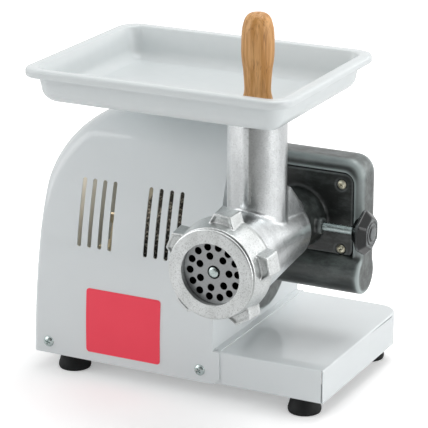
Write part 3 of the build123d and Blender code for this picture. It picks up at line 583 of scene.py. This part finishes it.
bright_zinc = plated_steel("bright_zinc_plate", light="#D6E2E0", dark="#A9B6B5", roughness=0.26)
ground_steel = plated_steel("ground_tool_steel", light="#B4B4B6", dark="#7F7F82", roughness=0.36)
black_moulding = moulded_plastic("black_moulding", base="#17191A", mottle="#222526", roughness=0.42)
natural_nylon = moulded_plastic("natural_nylon", base="#CFC8B4", mottle="#BDB5A0", roughness=0.45)
shield_casting = cast_metal("die_cast_shield", light="#BEBBB2", dark="#8E8B84", roughness=0.5)
for material, names in (
        (shield_casting, ("motor_front_shield", "motor_rear_shield", "capacitor")),
        (wound_copper("varnished_windings"), ("stator_windings",)),
        (stacked_laminations("stator_laminations"), ("stator_core",)),
        (ground_steel, ("rotor_core", "worm_shaft", "motor_bearings", "worm_bearings", "output_shaft")),
        (bright_zinc, ("motor_bolts", "motor_saddle", "capacitor_clip", "foot_screws")),
        (natural_nylon, ("cooling_fan",))):
    for name in names:
        paint(nodes[name], material)

# Gear train: a bronze worm wheel on the output shaft and plain bronze bushes, turned from bar, pressed in
# and left bare.
bearing_bronze = plated_steel("bearing_bronze", light="#B98A4A", dark="#8A6431", roughness=0.34)
for name in ("worm_wheel", "output_bushes", "barrel_bush"):
    paint(nodes[name], bearing_bronze)

# Gearbox: a sand-cast iron housing with its cover let into the rim, painted black by brush. Casting leaves
# every edge and inside corner rounded, so the solids' forms are remeshed and softened.
paint_black = "#131614"
paint_worn = "#3D4240"
edge_wear_and_highlight_grey = "#A9B4B3"
painted_sheen_grey = "#8B9593"
lamp_side = Vector((0.6, -0.35, 0.72))
painted_shade_reach = 7 * mm


def soften(piece, voxel, passes):
    """Rounds a piece's edges and inside corners, as a casting's are."""
    remesh = piece.modifiers.new("remesh", "REMESH")
    remesh.mode = "VOXEL"
    remesh.voxel_size = voxel
    smooth = piece.modifiers.new("soften", "SMOOTH")
    smooth.factor = 0.5
    smooth.iterations = passes
    return settle(piece, sharp=60)


def cast_copy(name, source, voxel, passes):
    """A softened copy of a solid."""
    bm = bmesh.new()
    bm.from_mesh(nodes[source].data)
    bmesh.ops.remove_doubles(bm, verts=bm.verts, dist=hair)
    return soften(make_piece(name, bm), voxel, passes)


def brushed_black_paint(name, worn_and_highlit_edge, sheen_amount):
    """Black enamel brushed on a sand casting: streaky, with a painted sheen on faces turned to the lamps,
    edges pale from wear and a painted highlight, and painted shade in its crevices.
    """
    material, tree, place = begin_material(name)
    drawn = node(tree, "Mapping", {"Vector": place, "Scale": (0.45, 1, 1)})
    cloud = node(tree, "TexNoise", {"Vector": drawn, "Scale": 1 / (11 * mm), "Detail": 8, "Roughness": 0.72})
    thin = node(tree, "MapRange", {"Value": cloud, "From Min": 0.47, "From Max": 0.64})
    tone = node(tree, "MixRGB", {"Fac": thin, "Color1": paint_black, "Color2": paint_worn})
    form = node(tree, "NewGeometry", {}).outputs
    # Painted sheen: faces turned up, right and front, towards the lamps, go grey in patches.
    upward = node(tree, "VectorMath", {0: form["Normal"], 1: lamp_side}, operation="DOT_PRODUCT")
    facing_lamps = node(tree, "MapRange", {"Value": upward, "From Min": 0.3, "From Max": 0.85, "To Max": sheen_amount})
    patchy = node(tree, "MapRange", {"Value": cloud, "From Min": 0.36, "From Max": 0.6, "To Min": 0.25})
    sheen_patches = node(tree, "Math", {0: facing_lamps, 1: patchy}, operation="MULTIPLY")
    tone = node(tree, "MixRGB", {"Fac": sheen_patches, "Color1": tone, "Color2": painted_sheen_grey})
    # Edges go pale grey: partly rubbed wear, partly a painted highlight.
    edge = node(tree, "MapRange",
                {"Value": form["Pointiness"], "From Min": 0.503, "From Max": 0.52, "To Max": worn_and_highlit_edge})
    tone = node(tree, "MixRGB", {"Fac": edge, "Color1": tone, "Color2": edge_wear_and_highlight_grey})
    # Painted shade: ambient occlusion blackens crevices, such as the groove round the cover.
    shade = node(tree, "AmbientOcclusion", {"Color": tone, "Distance": painted_shade_reach}, samples=8)
    dull = node(tree, "MapRange", {"Value": cloud, "To Min": 0.42, "To Max": 0.22})
    grain = node(tree, "TexNoise", {"Vector": place, "Scale": 1 / (2 * mm), "Detail": 4})
    bump = node(tree, "Bump", {"Height": grain, "Strength": 0.2, "Distance": 0.3 * mm})
    return finish_material(material, shade, dull, bump, IOR=1.6)


for name, source, voxel, passes, worn_and_highlit_edge, sheen_amount in (
        ("gearbox_casting", "gearbox_housing", 1.2 * mm, 24, 1.0, 0.5),
        ("gearbox_lid", "gearbox_cover", 1.0 * mm, 6, 0.18, 0.12)):
    casting = cast_copy(name, source, voxel, passes)
    paint(casting, brushed_black_paint(name + "_enamel", worn_and_highlit_edge, sheen_amount))
    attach(casting, "machine")
    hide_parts(source)

# Screws: zinc-plated pan heads with a cross recess, two sizes, made by one tree. The cover's are
# yellow passivated, and the hood's are bright.
cover_low, cover_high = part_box("cover_screws")
cover_head = 4.5 * mm
cover_seat = cover_low.y + 2.7 * mm
cover_spins = (24, 61, -12, 40)
hood_head = 5.5 * mm
hood_screw_xs = (hood_low.x + 17.4 * mm, hood_low.x + 183.3 * mm)
hood_screw_z = pan_low.z + 12 * mm
front_spins = (18, 52)
back_spins = (33, -20)
base_block = Vector((40, 40, 20)) * mm
head_height = 2.6 * mm
recess_width = 1.1 * mm
screw_sizes = ("Head Radius", "Head Height", "Recess Length", "Recess Width", "Recess Depth")

screw_tree, given, result = repeat_tree("cross_head_screws", screw_sizes)
ball = node(screw_tree, "GeometryNodeMeshUVSphere", {"Segments": 32, "Rings": 16, "Radius": 1.0})
dome_size = node(screw_tree, "CombineXYZ",
                 {"X": given["Head Radius"], "Y": given["Head Radius"], "Z": given["Head Height"]})
dome = node(screw_tree, "GeometryNodeTransform", {"Geometry": ball, "Scale": dome_size})
block = node(screw_tree, "GeometryNodeMeshCube", {"Size": base_block})
below = node(screw_tree, "GeometryNodeTransform",
             {"Geometry": block, "Translation": (0, 0, -base_block.z / 2)})
blade_size = node(screw_tree, "CombineXYZ",
                  {"X": given["Recess Length"], "Y": given["Recess Width"], "Z": given["Recess Depth"]})
blade = node(screw_tree, "GeometryNodeMeshCube", {"Size": blade_size})
top = node(screw_tree, "CombineXYZ", {"Z": given["Head Height"]})
wing = node(screw_tree, "GeometryNodeTransform", {"Geometry": blade, "Translation": top})
cross_wing = node(screw_tree, "GeometryNodeTransform", {"Geometry": wing, "Rotation": (0, 0, right_angle)})
recessed = node(screw_tree, "GeometryNodeMeshBoolean", {"Mesh 1": dome}, operation="DIFFERENCE")
for tool in (below, wing, cross_wing):
    set_inputs(screw_tree, recessed, {"Mesh 2": tool})
put_on_points(screw_tree, given, result, recessed)

yellow_zinc = plated_steel("yellow_passivated_zinc", light="#FBF8E6", dark="#E2DBBE", roughness=0.42)
cover_places = [(x, cover_seat, z)
                for x in (cover_low.x + cover_head, cover_high.x - cover_head)
                for z in (cover_low.z + cover_head, cover_high.z - cover_head)]
cover_turns = [(right_angle, radians(spin), 0) for spin in cover_spins]
hood_places = [(x, y, hood_screw_z) for y in (hood_low.y, hood_back) for x in hood_screw_xs]
hood_turns = [(right_angle, radians(spin), 0) for spin in front_spins]
hood_turns += [(-right_angle, radians(spin), 0) for spin in back_spins]
for name, solid, places, turns, radius, length, depth, plating in (
        ("cover_screw_heads", "cover_screws", cover_places, cover_turns, cover_head, 5.4 * mm, 2.8 * mm,
         yellow_zinc),
        ("hood_screw_heads", "hood_screws", hood_places, hood_turns, hood_head, 5.8 * mm, 3 * mm,
         bright_zinc)):
    screws = repeat_on(name, places, turns, screw_tree,
                       {"Head Radius": radius, "Head Height": head_height, "Recess Length": length,
                        "Recess Width": recess_width, "Recess Depth": depth, "Material": plating})
    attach(screws, "machine")
    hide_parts(solid)

# Clamp: a zinc-plated stud through the boss that holds the head's spigot. A six-sided phenolic knob is
# moulded on its end, tapered both ways from its middle, with a round button in front.
paint(nodes["clamp_stud"], bright_zinc)
knob_low, knob_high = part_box("clamp_knob")
knob_length = 18.5 * mm
knob_middle = (knob_low + knob_high) / 2
knob_foot = Vector((knob_high.x - knob_length, knob_middle.y, knob_middle.z))
knob_radius = 21.9 * mm
knob_flat = 19.5 * mm
knob_sides = 6
knob_edge = 20
knob_columns = 96
least_reach = 0.01 * mm
weld = 0.03 * mm
# Distance along in mm, share of the outline, and how far it has gone from a hexagon to a circle.
knob_steps = (
    (0, 0.0, 0.3), (0, 0.44, 0.2), (0.5, 0.5, 0.1), (3, 0.6, 0), (5, 0.73, 0), (7.2, 0.93, 0), (8, 0.98, 0),
    (8.8, 1, 0), (10.4, 1, 0), (11.2, 0.98, 0), (12, 0.94, 0), (16, 0.76, 0), (16.8, 0.715, 0),
    (17.2, 0.66, 0.1), (17.2, 0.58, 0.6), (17.2, 0.55, 1), (16.8, 0.53, 1), (16.8, 0.5, 1), (17.3, 0.48, 1),
    (17.6, 0.45, 1), (17.6, 0.4, 1), (17.3, 0.37, 1), (17.6, 0.34, 1), (18.2, 0.3, 1), (18.4, 0.22, 1),
    (18.5, 0.1, 1), (18.5, 0.0, 1))
phenolic_black = "#0C0F10"
phenolic_edge_and_end_grey = "#8B9294"
end_face_grey = 0.42


def knob_outline(turn, roundness):
    """The knob's radius in one direction: a soft hexagon, or a circle as roundness nears 1."""
    total = 0
    for side in range(knob_sides):
        lean = cos(turn - tau * side / knob_sides)
        total += max(lean, 0) ** knob_edge
    hexagon = knob_flat * total ** (-1 / knob_edge)
    return min(hexagon, knob_radius) * (1 - roundness) + knob_radius * roundness


def highlit_phenolic(name):
    """Polished black phenolic: deep gloss on the sides, a painted highlight in grey on its edges, grey on the
    end.
    """
    material, tree = begin_material(name)[:2]
    form = node(tree, "NewGeometry", {}).outputs
    # Painted highlight: the knob's edges are turned grey.
    edge = node(tree, "MapRange",
                {"Value": form["Pointiness"], "From Min": 0.53, "From Max": 0.6, "To Max": 0.9})
    outward = node(tree, "VectorMath", {0: form["Normal"], 1: (1, 0, 0)}, operation="DOT_PRODUCT")
    end = node(tree, "MapRange", {"Value": outward, "From Min": 0.93, "From Max": 0.99, "To Max": end_face_grey})
    edge_highlight_and_end = node(tree, "Math", {0: edge, 1: end}, operation="MAXIMUM")
    tone = node(tree, "MixRGB", {"Fac": edge_highlight_and_end, "Color1": phenolic_black, "Color2": phenolic_edge_and_end_grey})
    return finish_material(material, tone, 0.14, IOR=1.5)


knob_form = bmesh.new()
knob_rings = []
for along, scale, roundness in knob_steps:
    ring = []
    for i in range(knob_columns):
        turn = tau * i / knob_columns
        reach = max(knob_outline(turn, roundness) * scale, least_reach)
        spoke = Vector((along * mm, reach * cos(turn), reach * sin(turn)))
        ring.append(knob_form.verts.new(knob_foot + spoke))
    knob_rings.append(ring)
for lower, upper in zip(knob_rings, knob_rings[1:]):
    lay_round(knob_form, lower, upper)
bmesh.ops.remove_doubles(knob_form, verts=knob_form.verts, dist=weld)
bmesh.ops.recalc_face_normals(knob_form, faces=knob_form.faces)
knob = make_piece("hand_knob", knob_form, sharp=60)
paint(knob, highlit_phenolic("polished_phenolic"))
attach(knob, "clamp")
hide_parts("clamp_knob")

# Head: barrel, feed tube and neck cast in one piece of aluminium and tumbled bright, softened like the
# gearbox. The mould's two halves leave a ridge down the tube's front. Beside the ridge a band is darkened:
# a painted dark reflection.
tube_axis = Vector((80 * mm, -53 * mm, 0))
tube_skin = 25.5 * mm
ridge_turn = radians(8.6)
ridge_height = 0.9 * mm
ridge_width = 1.6 * mm
ridge_shoulder = 6 * ridge_width
ridge_low = 206 * mm
ridge_fade = 8 * mm
painted_band_width = 13 * mm
painted_band_depth = 0.72
head = cast_copy("grinding_head", "head_casting", voxel=1.3 * mm, passes=14)
ridge_out = Vector((sin(ridge_turn), -cos(ridge_turn)))
ridge_across = Vector((cos(ridge_turn), sin(ridge_turn)))
painted_dark_reflection = head.data.attributes.new("painted_dark_reflection", "FLOAT", "POINT")
for vertex, skin in zip(head.data.vertices, painted_dark_reflection.data):
    spoke = (vertex.co - tube_axis).to_2d()
    if vertex.co.z > ridge_low and spoke.length > tube_skin and spoke.dot(ridge_out) > 0:
        aside = spoke.dot(ridge_across)
        fade = min(1, (vertex.co.z - ridge_low) / ridge_fade)
        if aside > 0:
            fall = exp(-(aside / ridge_width) ** 2)
            # Painted dark reflection: a band on one side of the ridge is darkened towards the grey.
            skin.value = painted_band_depth * fade * exp(-(aside / painted_band_width) ** 2)
        else:
            fall = exp(aside / ridge_shoulder)
        vertex.co += (spoke.normalized() * ridge_height * fade * fall).to_3d()
paint(head, cast_metal("tumbled_aluminium", light="#E9ECED", dark="#C6C9CA", roughness=0.28,
                       painted_reflection="painted_dark_reflection"))
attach(head, "head")
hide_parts("head_casting")

# Cutting set: a tinned iron auger and a four-armed knife behind a hardened plate, which the ring holds. The
# plate is drilled in two rings round the auger's pin, whose end is turned to a low dome.
paint(nodes["auger"], cast_metal("tinned_iron", light="#D6D8D6", dark="#A3A49F", roughness=0.36))
paint(nodes["cutting_knife"], ground_steel)
nut_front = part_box("ring_nut")[0].y
plate_low, plate_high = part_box("perforated_plate")
plate_centre = (plate_low + plate_high) / 2
nut_axis = Vector((plate_centre.x, nut_front, plate_centre.z))
plate_sunk = 7.6 * mm
plate_face = nut_axis + Vector((0, plate_sunk, 0))
plate_radius = 29.5 * mm
plate_points = 96
pin_hole = 6.2 * mm
pin_points = 32
hole_radius = 3.5 * mm
hole_points = 24
hole_rings = ((15 * mm, 7), (23.5 * mm, 14))
first_hole = radians(105)
plate_light = "#B6B8B9"
plate_dark = "#8B8D8E"
hole_painted_shade = "#1C1B19"
pin_sunk = 12.5 * mm
pin_foot = nut_axis + Vector((0, pin_sunk, 0))
pin_profile = ((0, 7), (2.4, 6.9), (4, 6.5), (4.7, 5.9), (4.85, 5.2), (4.85, 0), (0, 0))
pin_turns = 48


def ground_plate(name):
    """Hardened steel ground flat: grey with fine marks, and painted shade in black on the holes' walls."""
    material, tree, place = begin_material(name)
    marks = node(tree, "TexNoise", {"Vector": place, "Scale": 1 / (1.2 * mm), "Detail": 5})
    tone = node(tree, "MixRGB", {"Fac": marks, "Color1": plate_dark, "Color2": plate_light})
    form = node(tree, "NewGeometry", {}).outputs
    # Painted shade: faces turned away from the front, the holes' walls among them, go black.
    facing = node(tree, "VectorMath", {0: form["Normal"], 1: (0, -1, 0)}, operation="DOT_PRODUCT")
    open_face = node(tree, "MapRange", {"Value": facing, "From Min": 0.3, "From Max": 0.7})
    tone = node(tree, "MixRGB", {"Fac": open_face, "Color1": hole_painted_shade, "Color2": tone})
    dull = node(tree, "MapRange", {"Value": marks, "To Min": 0.5, "To Max": 0.32})
    return finish_material(material, tone, dull, Metallic=1.0)


def drawn_circle(bm, middle, radius, points):
    """A ring of edges that faces the user."""
    spokes = [Matrix.Rotation(tau * i / points, 3, "Y") @ Vector((radius, 0, 0)) for i in range(points)]
    corners = [bm.verts.new(middle + spoke) for spoke in spokes]
    return [bm.edges.new((corners[i - 1], corners[i])) for i in range(points)]


def face_towards(bm, direction):
    """Turns all faces alike, on the whole towards a direction."""
    bmesh.ops.recalc_face_normals(bm, faces=bm.faces)
    if sum(face.normal.dot(direction) * face.calc_area() for face in bm.faces) < 0:
        bmesh.ops.reverse_faces(bm, faces=bm.faces)


plate_form = bmesh.new()
circles = drawn_circle(plate_form, plate_face, plate_radius, plate_points)
circles += drawn_circle(plate_form, plate_face, pin_hole, pin_points)
for ring_radius, count in hole_rings:
    for i in range(count):
        turn = first_hole + tau * i / count
        spoke = Vector((cos(turn), 0, sin(turn))) * ring_radius
        circles += drawn_circle(plate_form, plate_face + spoke, hole_radius, hole_points)
bmesh.ops.triangle_fill(plate_form, use_beauty=True, edges=circles)
face_towards(plate_form, Vector((0, -1, 0)))
plate = settle(thicken(make_piece("drilled_plate", plate_form), plate_high.y - plate_face.y))
paint(plate, ground_plate("ground_hardened_steel"))
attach(plate, "head")
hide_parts("perforated_plate")

pin = turned_piece("auger_pin_end", metres(pin_profile), pin_foot, Vector((0, -1, 0)), pin_turns)
paint(pin, bright_zinc)
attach(pin, "auger")

# Ring nut: a cast aluminium ring with five lugs for the hand, each with a shallow pocket in its face.
# The face is machined flat and left bare, with a fine crease behind its edge.
nut_profile = ((28.2, 0), (40.6, 0), (41.5, 0.35), (42, 1.2), (42, 2), (39.4, 2.6), (39.4, 3.5), (42.2, 4.4),
               (43, 10), (45.9, 27), (46, 28.5), (45.6, 31), (45, 34), (38, 34), (38, 11.7), (29.7, 11.7),
               (29.7, 1.6), (28.6, 0.4))
nut_turns = 128
nut_sharp = 30
lug_count = 5
lug_first = radians(12)
lug_root = 40 * mm
lug_tip = 53.6 * mm
lug_root_half = 14.6 * mm
lug_tip_half = 9.4 * mm
lug_front = 13 * mm
lug_back = 32 * mm
lug_draft = 1.3 * mm
lug_round = 1.6 * mm
pocket_border = 2.2 * mm
pocket_slope = 0.6 * mm
pocket_depth = 1.3 * mm
ring_voxel = 0.75 * mm
ring_passes = 4


def hand_lug(bm, turn):
    """One lug on the ring's side, standing out in the direction of turn, with a pocket in its front."""
    out = Vector((cos(turn), 0, sin(turn)))
    side = Vector((-sin(turn), 0, cos(turn)))
    rows = []
    for along, draft in ((lug_back, 0), (lug_front, lug_draft)):
        corners = ((lug_root, lug_root_half - draft), (lug_tip - draft, lug_tip_half - draft),
                   (lug_tip - draft, draft - lug_tip_half), (lug_root, draft - lug_root_half))
        rows.append([bm.verts.new(nut_axis + out * reach + side * half + Vector((0, along, 0)))
                     for reach, half in corners])
    faces = [bm.faces.new(rows[0]), bm.faces.new(reversed(rows[1]))]
    for i in range(4):
        j = (i + 1) % 4
        faces.append(bm.faces.new((rows[0][j], rows[0][i], rows[1][i], rows[1][j])))
    bmesh.ops.recalc_face_normals(bm, faces=faces)
    front = faces[1]
    bmesh.ops.inset_region(bm, faces=[front], thickness=pocket_border)
    bmesh.ops.inset_region(bm, faces=[front], thickness=pocket_slope, depth=-pocket_depth)
    outside = rows[0] + rows[1]
    tip_edges = {edge for tip in rows[1][1:3] for edge in tip.link_edges if edge.other_vert(tip) in outside}
    bmesh.ops.bevel(bm, geom=list(tip_edges), offset=lug_round, segments=3, profile=0.5, affect="EDGES")


ring = turned_piece("ring_casting", metres(nut_profile), nut_axis, Vector((0, 1, 0)), nut_turns, nut_sharp)
for number in range(lug_count):
    lug_form = bmesh.new()
    hand_lug(lug_form, lug_first + tau * number / lug_count)
    combine(ring, make_piece("lug", lug_form), "UNION", nut_sharp)
soften(ring, ring_voxel, ring_passes)
paint(ring, cast_metal("cast_ring_aluminium", light="#E6E9E9", dark="#CACDCC", roughness=0.34, grain=1.1,
                       speckle=0.55))
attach(ring, "ring_nut")
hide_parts("ring_nut")

# Feed tray: white polyethylene formed from one sheet, 2.5 mm thick. It has a rolled rim, walls that slope in
# and run into the floor on a wide round, and a collar that plugs into the feed tube.
tray_low, tray_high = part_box("feed_tray")
tray_sheet = 2.5 * mm
tray_sharp = 40
rim_corner = 19 * mm
least_corner = 4 * mm
corner_share = 0.55
tray_corner_points = 10
rim_rows = ((0.5, 7.5), (0, 6.4), (0, 3), (0.3, 1.7), (1, 0.7), (3, 0), (8.4, 0), (10.2, 0.5), (11.2, 2))
wall_lean = tan(radians(11))
floor_round = 12 * mm
floor_steps = 8
collar_drop = 23 * mm
throat_radius = 20.4 * mm
throat_points = 48


def tray_loop(bm, inset, drop):
    """A loop of the tray's inside: a rounded rectangle drawn in from the rim and down from its top."""
    corner = max(rim_corner - inset * corner_share, least_corner)
    left, right = tray_low.x + inset + corner, tray_high.x - inset - corner
    front, back = tray_low.y + inset + corner, tray_high.y - inset - corner
    loop = []
    for x, y, start in ((right, front, 270), (right, back, 0), (left, back, 90), (left, front, 180)):
        loop += arc(x, y, corner, start, 90, tray_corner_points)
    return [bm.verts.new((x, y, tray_high.z - drop)) for x, y in loop]


tray_form = bmesh.new()
floor_drop = tray_high.z - tray_low.z - collar_drop - tray_sheet
tray_rows = metres(rim_rows)
wall_inset, wall_top_drop = tray_rows[-1]
round_inset = wall_inset + (floor_drop - floor_round - wall_top_drop) * wall_lean
for step in range(floor_steps + 1):
    turn = right_angle * step / floor_steps
    tray_rows.append((round_inset + floor_round * (1 - cos(turn)),
                      floor_drop - floor_round * (1 - sin(turn))))
loops = [tray_loop(tray_form, inset, drop) for inset, drop in tray_rows]
for z in (tray_high.z - floor_drop, tray_low.z):
    spokes = [Matrix.Rotation(tau * i / throat_points, 3, "Z") @ Vector((throat_radius, 0, z))
              for i in range(throat_points)]
    loops.append([tray_form.verts.new(tube_axis + spoke) for spoke in spokes])
for outer, inner in zip(loops, loops[1:]):
    if len(outer) == len(inner):
        lay_round(tray_form, outer, inner)
    else:
        hoops = [tray_form.edges.get((loop[i - 1], loop[i])) or tray_form.edges.new((loop[i - 1], loop[i]))
                 for loop in (outer, inner) for i in range(len(loop))]
        bmesh.ops.triangle_fill(tray_form, use_beauty=True, edges=hoops)
face_towards(tray_form, Vector((0, 0, 1)))
tray = thicken(make_piece("formed_tray", tray_form, sharp=tray_sharp), tray_sheet)
settle(tray, sharp=tray_sharp)
paint(tray, moulded_plastic("white_polyethylene", base="#DEE3E4", mottle="#D8DEDF", roughness=0.22))
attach(tray, "tray")
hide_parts("feed_tray")

# Pusher: a hardwood rod turned on a lathe and oiled, with a waisted grip above the tray and a thick end that
# fits the feed tube. The lathe's centre mark is left in its top.
pusher_low, pusher_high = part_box("wooden_pusher")
pusher_bottom = pusher_low.z - pusher_high.z
pusher_grip = (
    (0, -4), (1.2, -3.4), (1.5, -0.4), (1.9, 0), (6.8, 0), (8.6, -0.9), (10.4, -2.6), (12, -5.1),
    (13.1, -8.9), (14, -12.7), (14.5, -16.5), (14.9, -24), (15, -30), (15, -35), (14.8, -39), (14.4, -43),
    (13.9, -46.6), (13.3, -50.4), (12.8, -56), (12.4, -62), (12.1, -67), (12.1, -70), (12.5, -73.5),
    (13.5, -77.5), (15.2, -82.5), (17.4, -88), (19, -92), (19.4, -94))
pusher_radius = 19.4 * mm
pusher_chamfer = 3 * mm
pusher_turns = 72
wood_light = "#DDAA70"
wood_mid = "#BE8747"
wood_dark = "#875426"


def turned_hardwood(name):
    """Oiled hardwood with the grain along the rod: stripes 2 to 5 mm wide, with fine dark pores."""
    material, tree, place = begin_material(name)
    drawn = node(tree, "Mapping", {"Vector": place, "Scale": (1, 1, 0.05)})
    stripes = node(tree, "TexNoise", {"Vector": drawn, "Scale": 1 / (5 * mm), "Detail": 5, "Roughness": 0.6})
    ramp = node(tree, "MapRange", {"Value": stripes, "From Min": 0.38, "From Max": 0.6})
    tone = node(tree, "MixRGB", {"Fac": ramp, "Color1": wood_mid, "Color2": wood_light})
    pores = node(tree, "TexNoise", {"Vector": drawn, "Scale": 1 / (1.1 * mm), "Detail": 3})
    dark = node(tree, "MapRange", {"Value": pores, "From Min": 0.54, "From Max": 0.74, "To Max": 0.8})
    veined = node(tree, "MixRGB", {"Fac": dark, "Color1": tone, "Color2": wood_dark})
    bump = node(tree, "Bump", {"Height": pores, "Strength": 0.15, "Distance": 0.2 * mm})
    return finish_material(material, veined, 0.5, bump, IOR=1.5)


pusher_profile = metres(pusher_grip)
pusher_profile += [(pusher_radius, pusher_bottom + pusher_chamfer),
                   (pusher_radius - pusher_chamfer, pusher_bottom), (0, pusher_bottom)]
pusher_top = tube_axis + Vector((0, 0, pusher_high.z))
pusher = turned_piece("turned_pusher", pusher_profile, pusher_top, Vector((0, 0, 1)), pusher_turns, sharp=40)
paint(pusher, turned_hardwood("turned_hardwood"))
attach(pusher, "pusher")
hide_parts("wooden_pusher")

# Back of the hood: a rocker switch in its frame and the gland for the cord, moulded in black plastic and
# snapped into holes in the sheet.
for name in ("switch_frame", "switch_rocker", "cable_gland"):
    paint(nodes[name], black_moulding)

# Studio: a white floor that keeps the soft shadow, large soft lamps above, and a white surround. Shiny faces
# see it darker on the photographer's side, where a studio has no lamp. A small warm lamp stands in for the
# light that reaches the windings through the hood.
floor_size = 8.0
floor_code = "#F7F7F7"
white = (1, 1, 1, 1)
ambient_strength = 0.45
dark_side = Vector((0.43, -0.83, 0.2)).normalized()
# Name, place, aim and side in metres, and power in watts.
soft_boxes = (("top_box", (0.25, 0.5, 1.8), (0, 0.05, 0.1), 1.3, 15.5),
              ("side_box", (1.7, -0.1, 0.55), (0, 0.05, 0.18), 1.1, 9),
              ("rim_box", (1.0, 1.3, 0.55), (0.08, 0, 0.2), 1.0, 2.6),
              ("fill_box", (-1.45, -1.0, 0.85), (-0.08, 0, 0.22), 1.2, 9.5))
glow_place = (-0.125, hood_low.y + 0.07, 0.19)
glow_tint = (1.0, 0.86, 0.7)
glow_power = 0.09
glow_size = 0.015

floor_form = bmesh.new()
bmesh.ops.create_grid(floor_form, x_segments=1, y_segments=1, size=floor_size)
floor = make_piece("studio_floor", floor_form)
floor_white, floor_tree, ground = begin_material("studio_white")
matt = floor_tree.nodes["Principled BSDF"]
set_inputs(floor_tree, matt, {"Base Color": floor_code, "Roughness": 0.9, "Specular IOR Level": 0})
path = node(floor_tree, "LightPath", {}).outputs
# Painted light: to the camera the floor also glows, weaker near the machine, so it reads white further off.
away = node(floor_tree, "VectorMath", {0: ground}, operation="LENGTH")
lift = node(floor_tree, "MapRange",
            {"Value": away, "From Min": 0.13, "From Max": 0.3, "To Min": 0.3, "To Max": 0.5})
glow = node(floor_tree, "Emission", {"Color": white, "Strength": lift})
lifted = node(floor_tree, "AddShader", {0: matt, 1: glow})
shown = node(floor_tree, "MixShader", {0: path["Is Camera Ray"], 1: matt, 2: lifted})
set_inputs(floor_tree, floor_tree.nodes["Material Output"], {"Surface": shown})
paint(floor, floor_white)

scene.world = bpy.data.worlds.new("studio_surround")
scene.world.use_nodes = True
sky = scene.world.node_tree
ambient = sky.nodes["Background"]
set_inputs(sky, ambient, {"Color": white, "Strength": ambient_strength})
bright = node(sky, "Background", {"Color": white, "Strength": 1.0})
toward = node(sky, "TexCoord", {}).outputs["Generated"]
into_dark = node(sky, "VectorMath", {0: toward, 1: dark_side}, operation="DOT_PRODUCT")
room_light = node(sky, "MapRange",
                  {"Value": into_dark, "From Min": 0.4, "From Max": 0.92, "To Min": 1.0, "To Max": 0.1},
                  interpolation_type="SMOOTHSTEP")
room = node(sky, "Background", {"Color": white, "Strength": room_light})
path = node(sky, "LightPath", {}).outputs
mirrored = node(sky, "MixShader", {0: path["Is Glossy Ray"], 1: ambient, 2: room})
seen = node(sky, "Math", {0: path["Is Camera Ray"], 1: path["Is Transmission Ray"]}, operation="MAXIMUM")
backdrop = node(sky, "MixShader", {0: seen, 1: mirrored, 2: bright})
set_inputs(sky, sky.nodes["World Output"], {"Surface": backdrop})

for name, place, aim, size, power in soft_boxes:
    lamp = bpy.data.lights.new(name, "AREA")
    lamp.size = size
    lamp.energy = power
    stand = add_object(name, lamp)
    stand.location = place
    stand.rotation_euler = (Vector(aim) - Vector(place)).to_track_quat("-Z", "Y").to_euler()
inner_glow = bpy.data.lights.new("light_through_hood", "POINT")
inner_glow.energy = glow_power
inner_glow.color = glow_tint
inner_glow.shadow_soft_size = glow_size
add_object("light_through_hood", inner_glow).location = glow_place

# Camera: the photograph's viewpoint, a long lens from the right front, slightly above. Its place and turn
# were fitted to edges measured in the photo.
camera_place = (0.93265, -1.83234, 0.84772)
camera_tilt = radians(71.73)
camera_turn = radians(26.74)
focal_length = 191.49
sensor_width = 36
lens = bpy.data.cameras.new("photo_camera")
lens.lens = focal_length
lens.sensor_width = sensor_width
camera = add_object("photo_camera", lens)
camera.location = camera_place
camera.rotation_euler = (camera_tilt, 0, camera_turn)
scene.camera = camera
scene.view_settings.view_transform = "Standard"
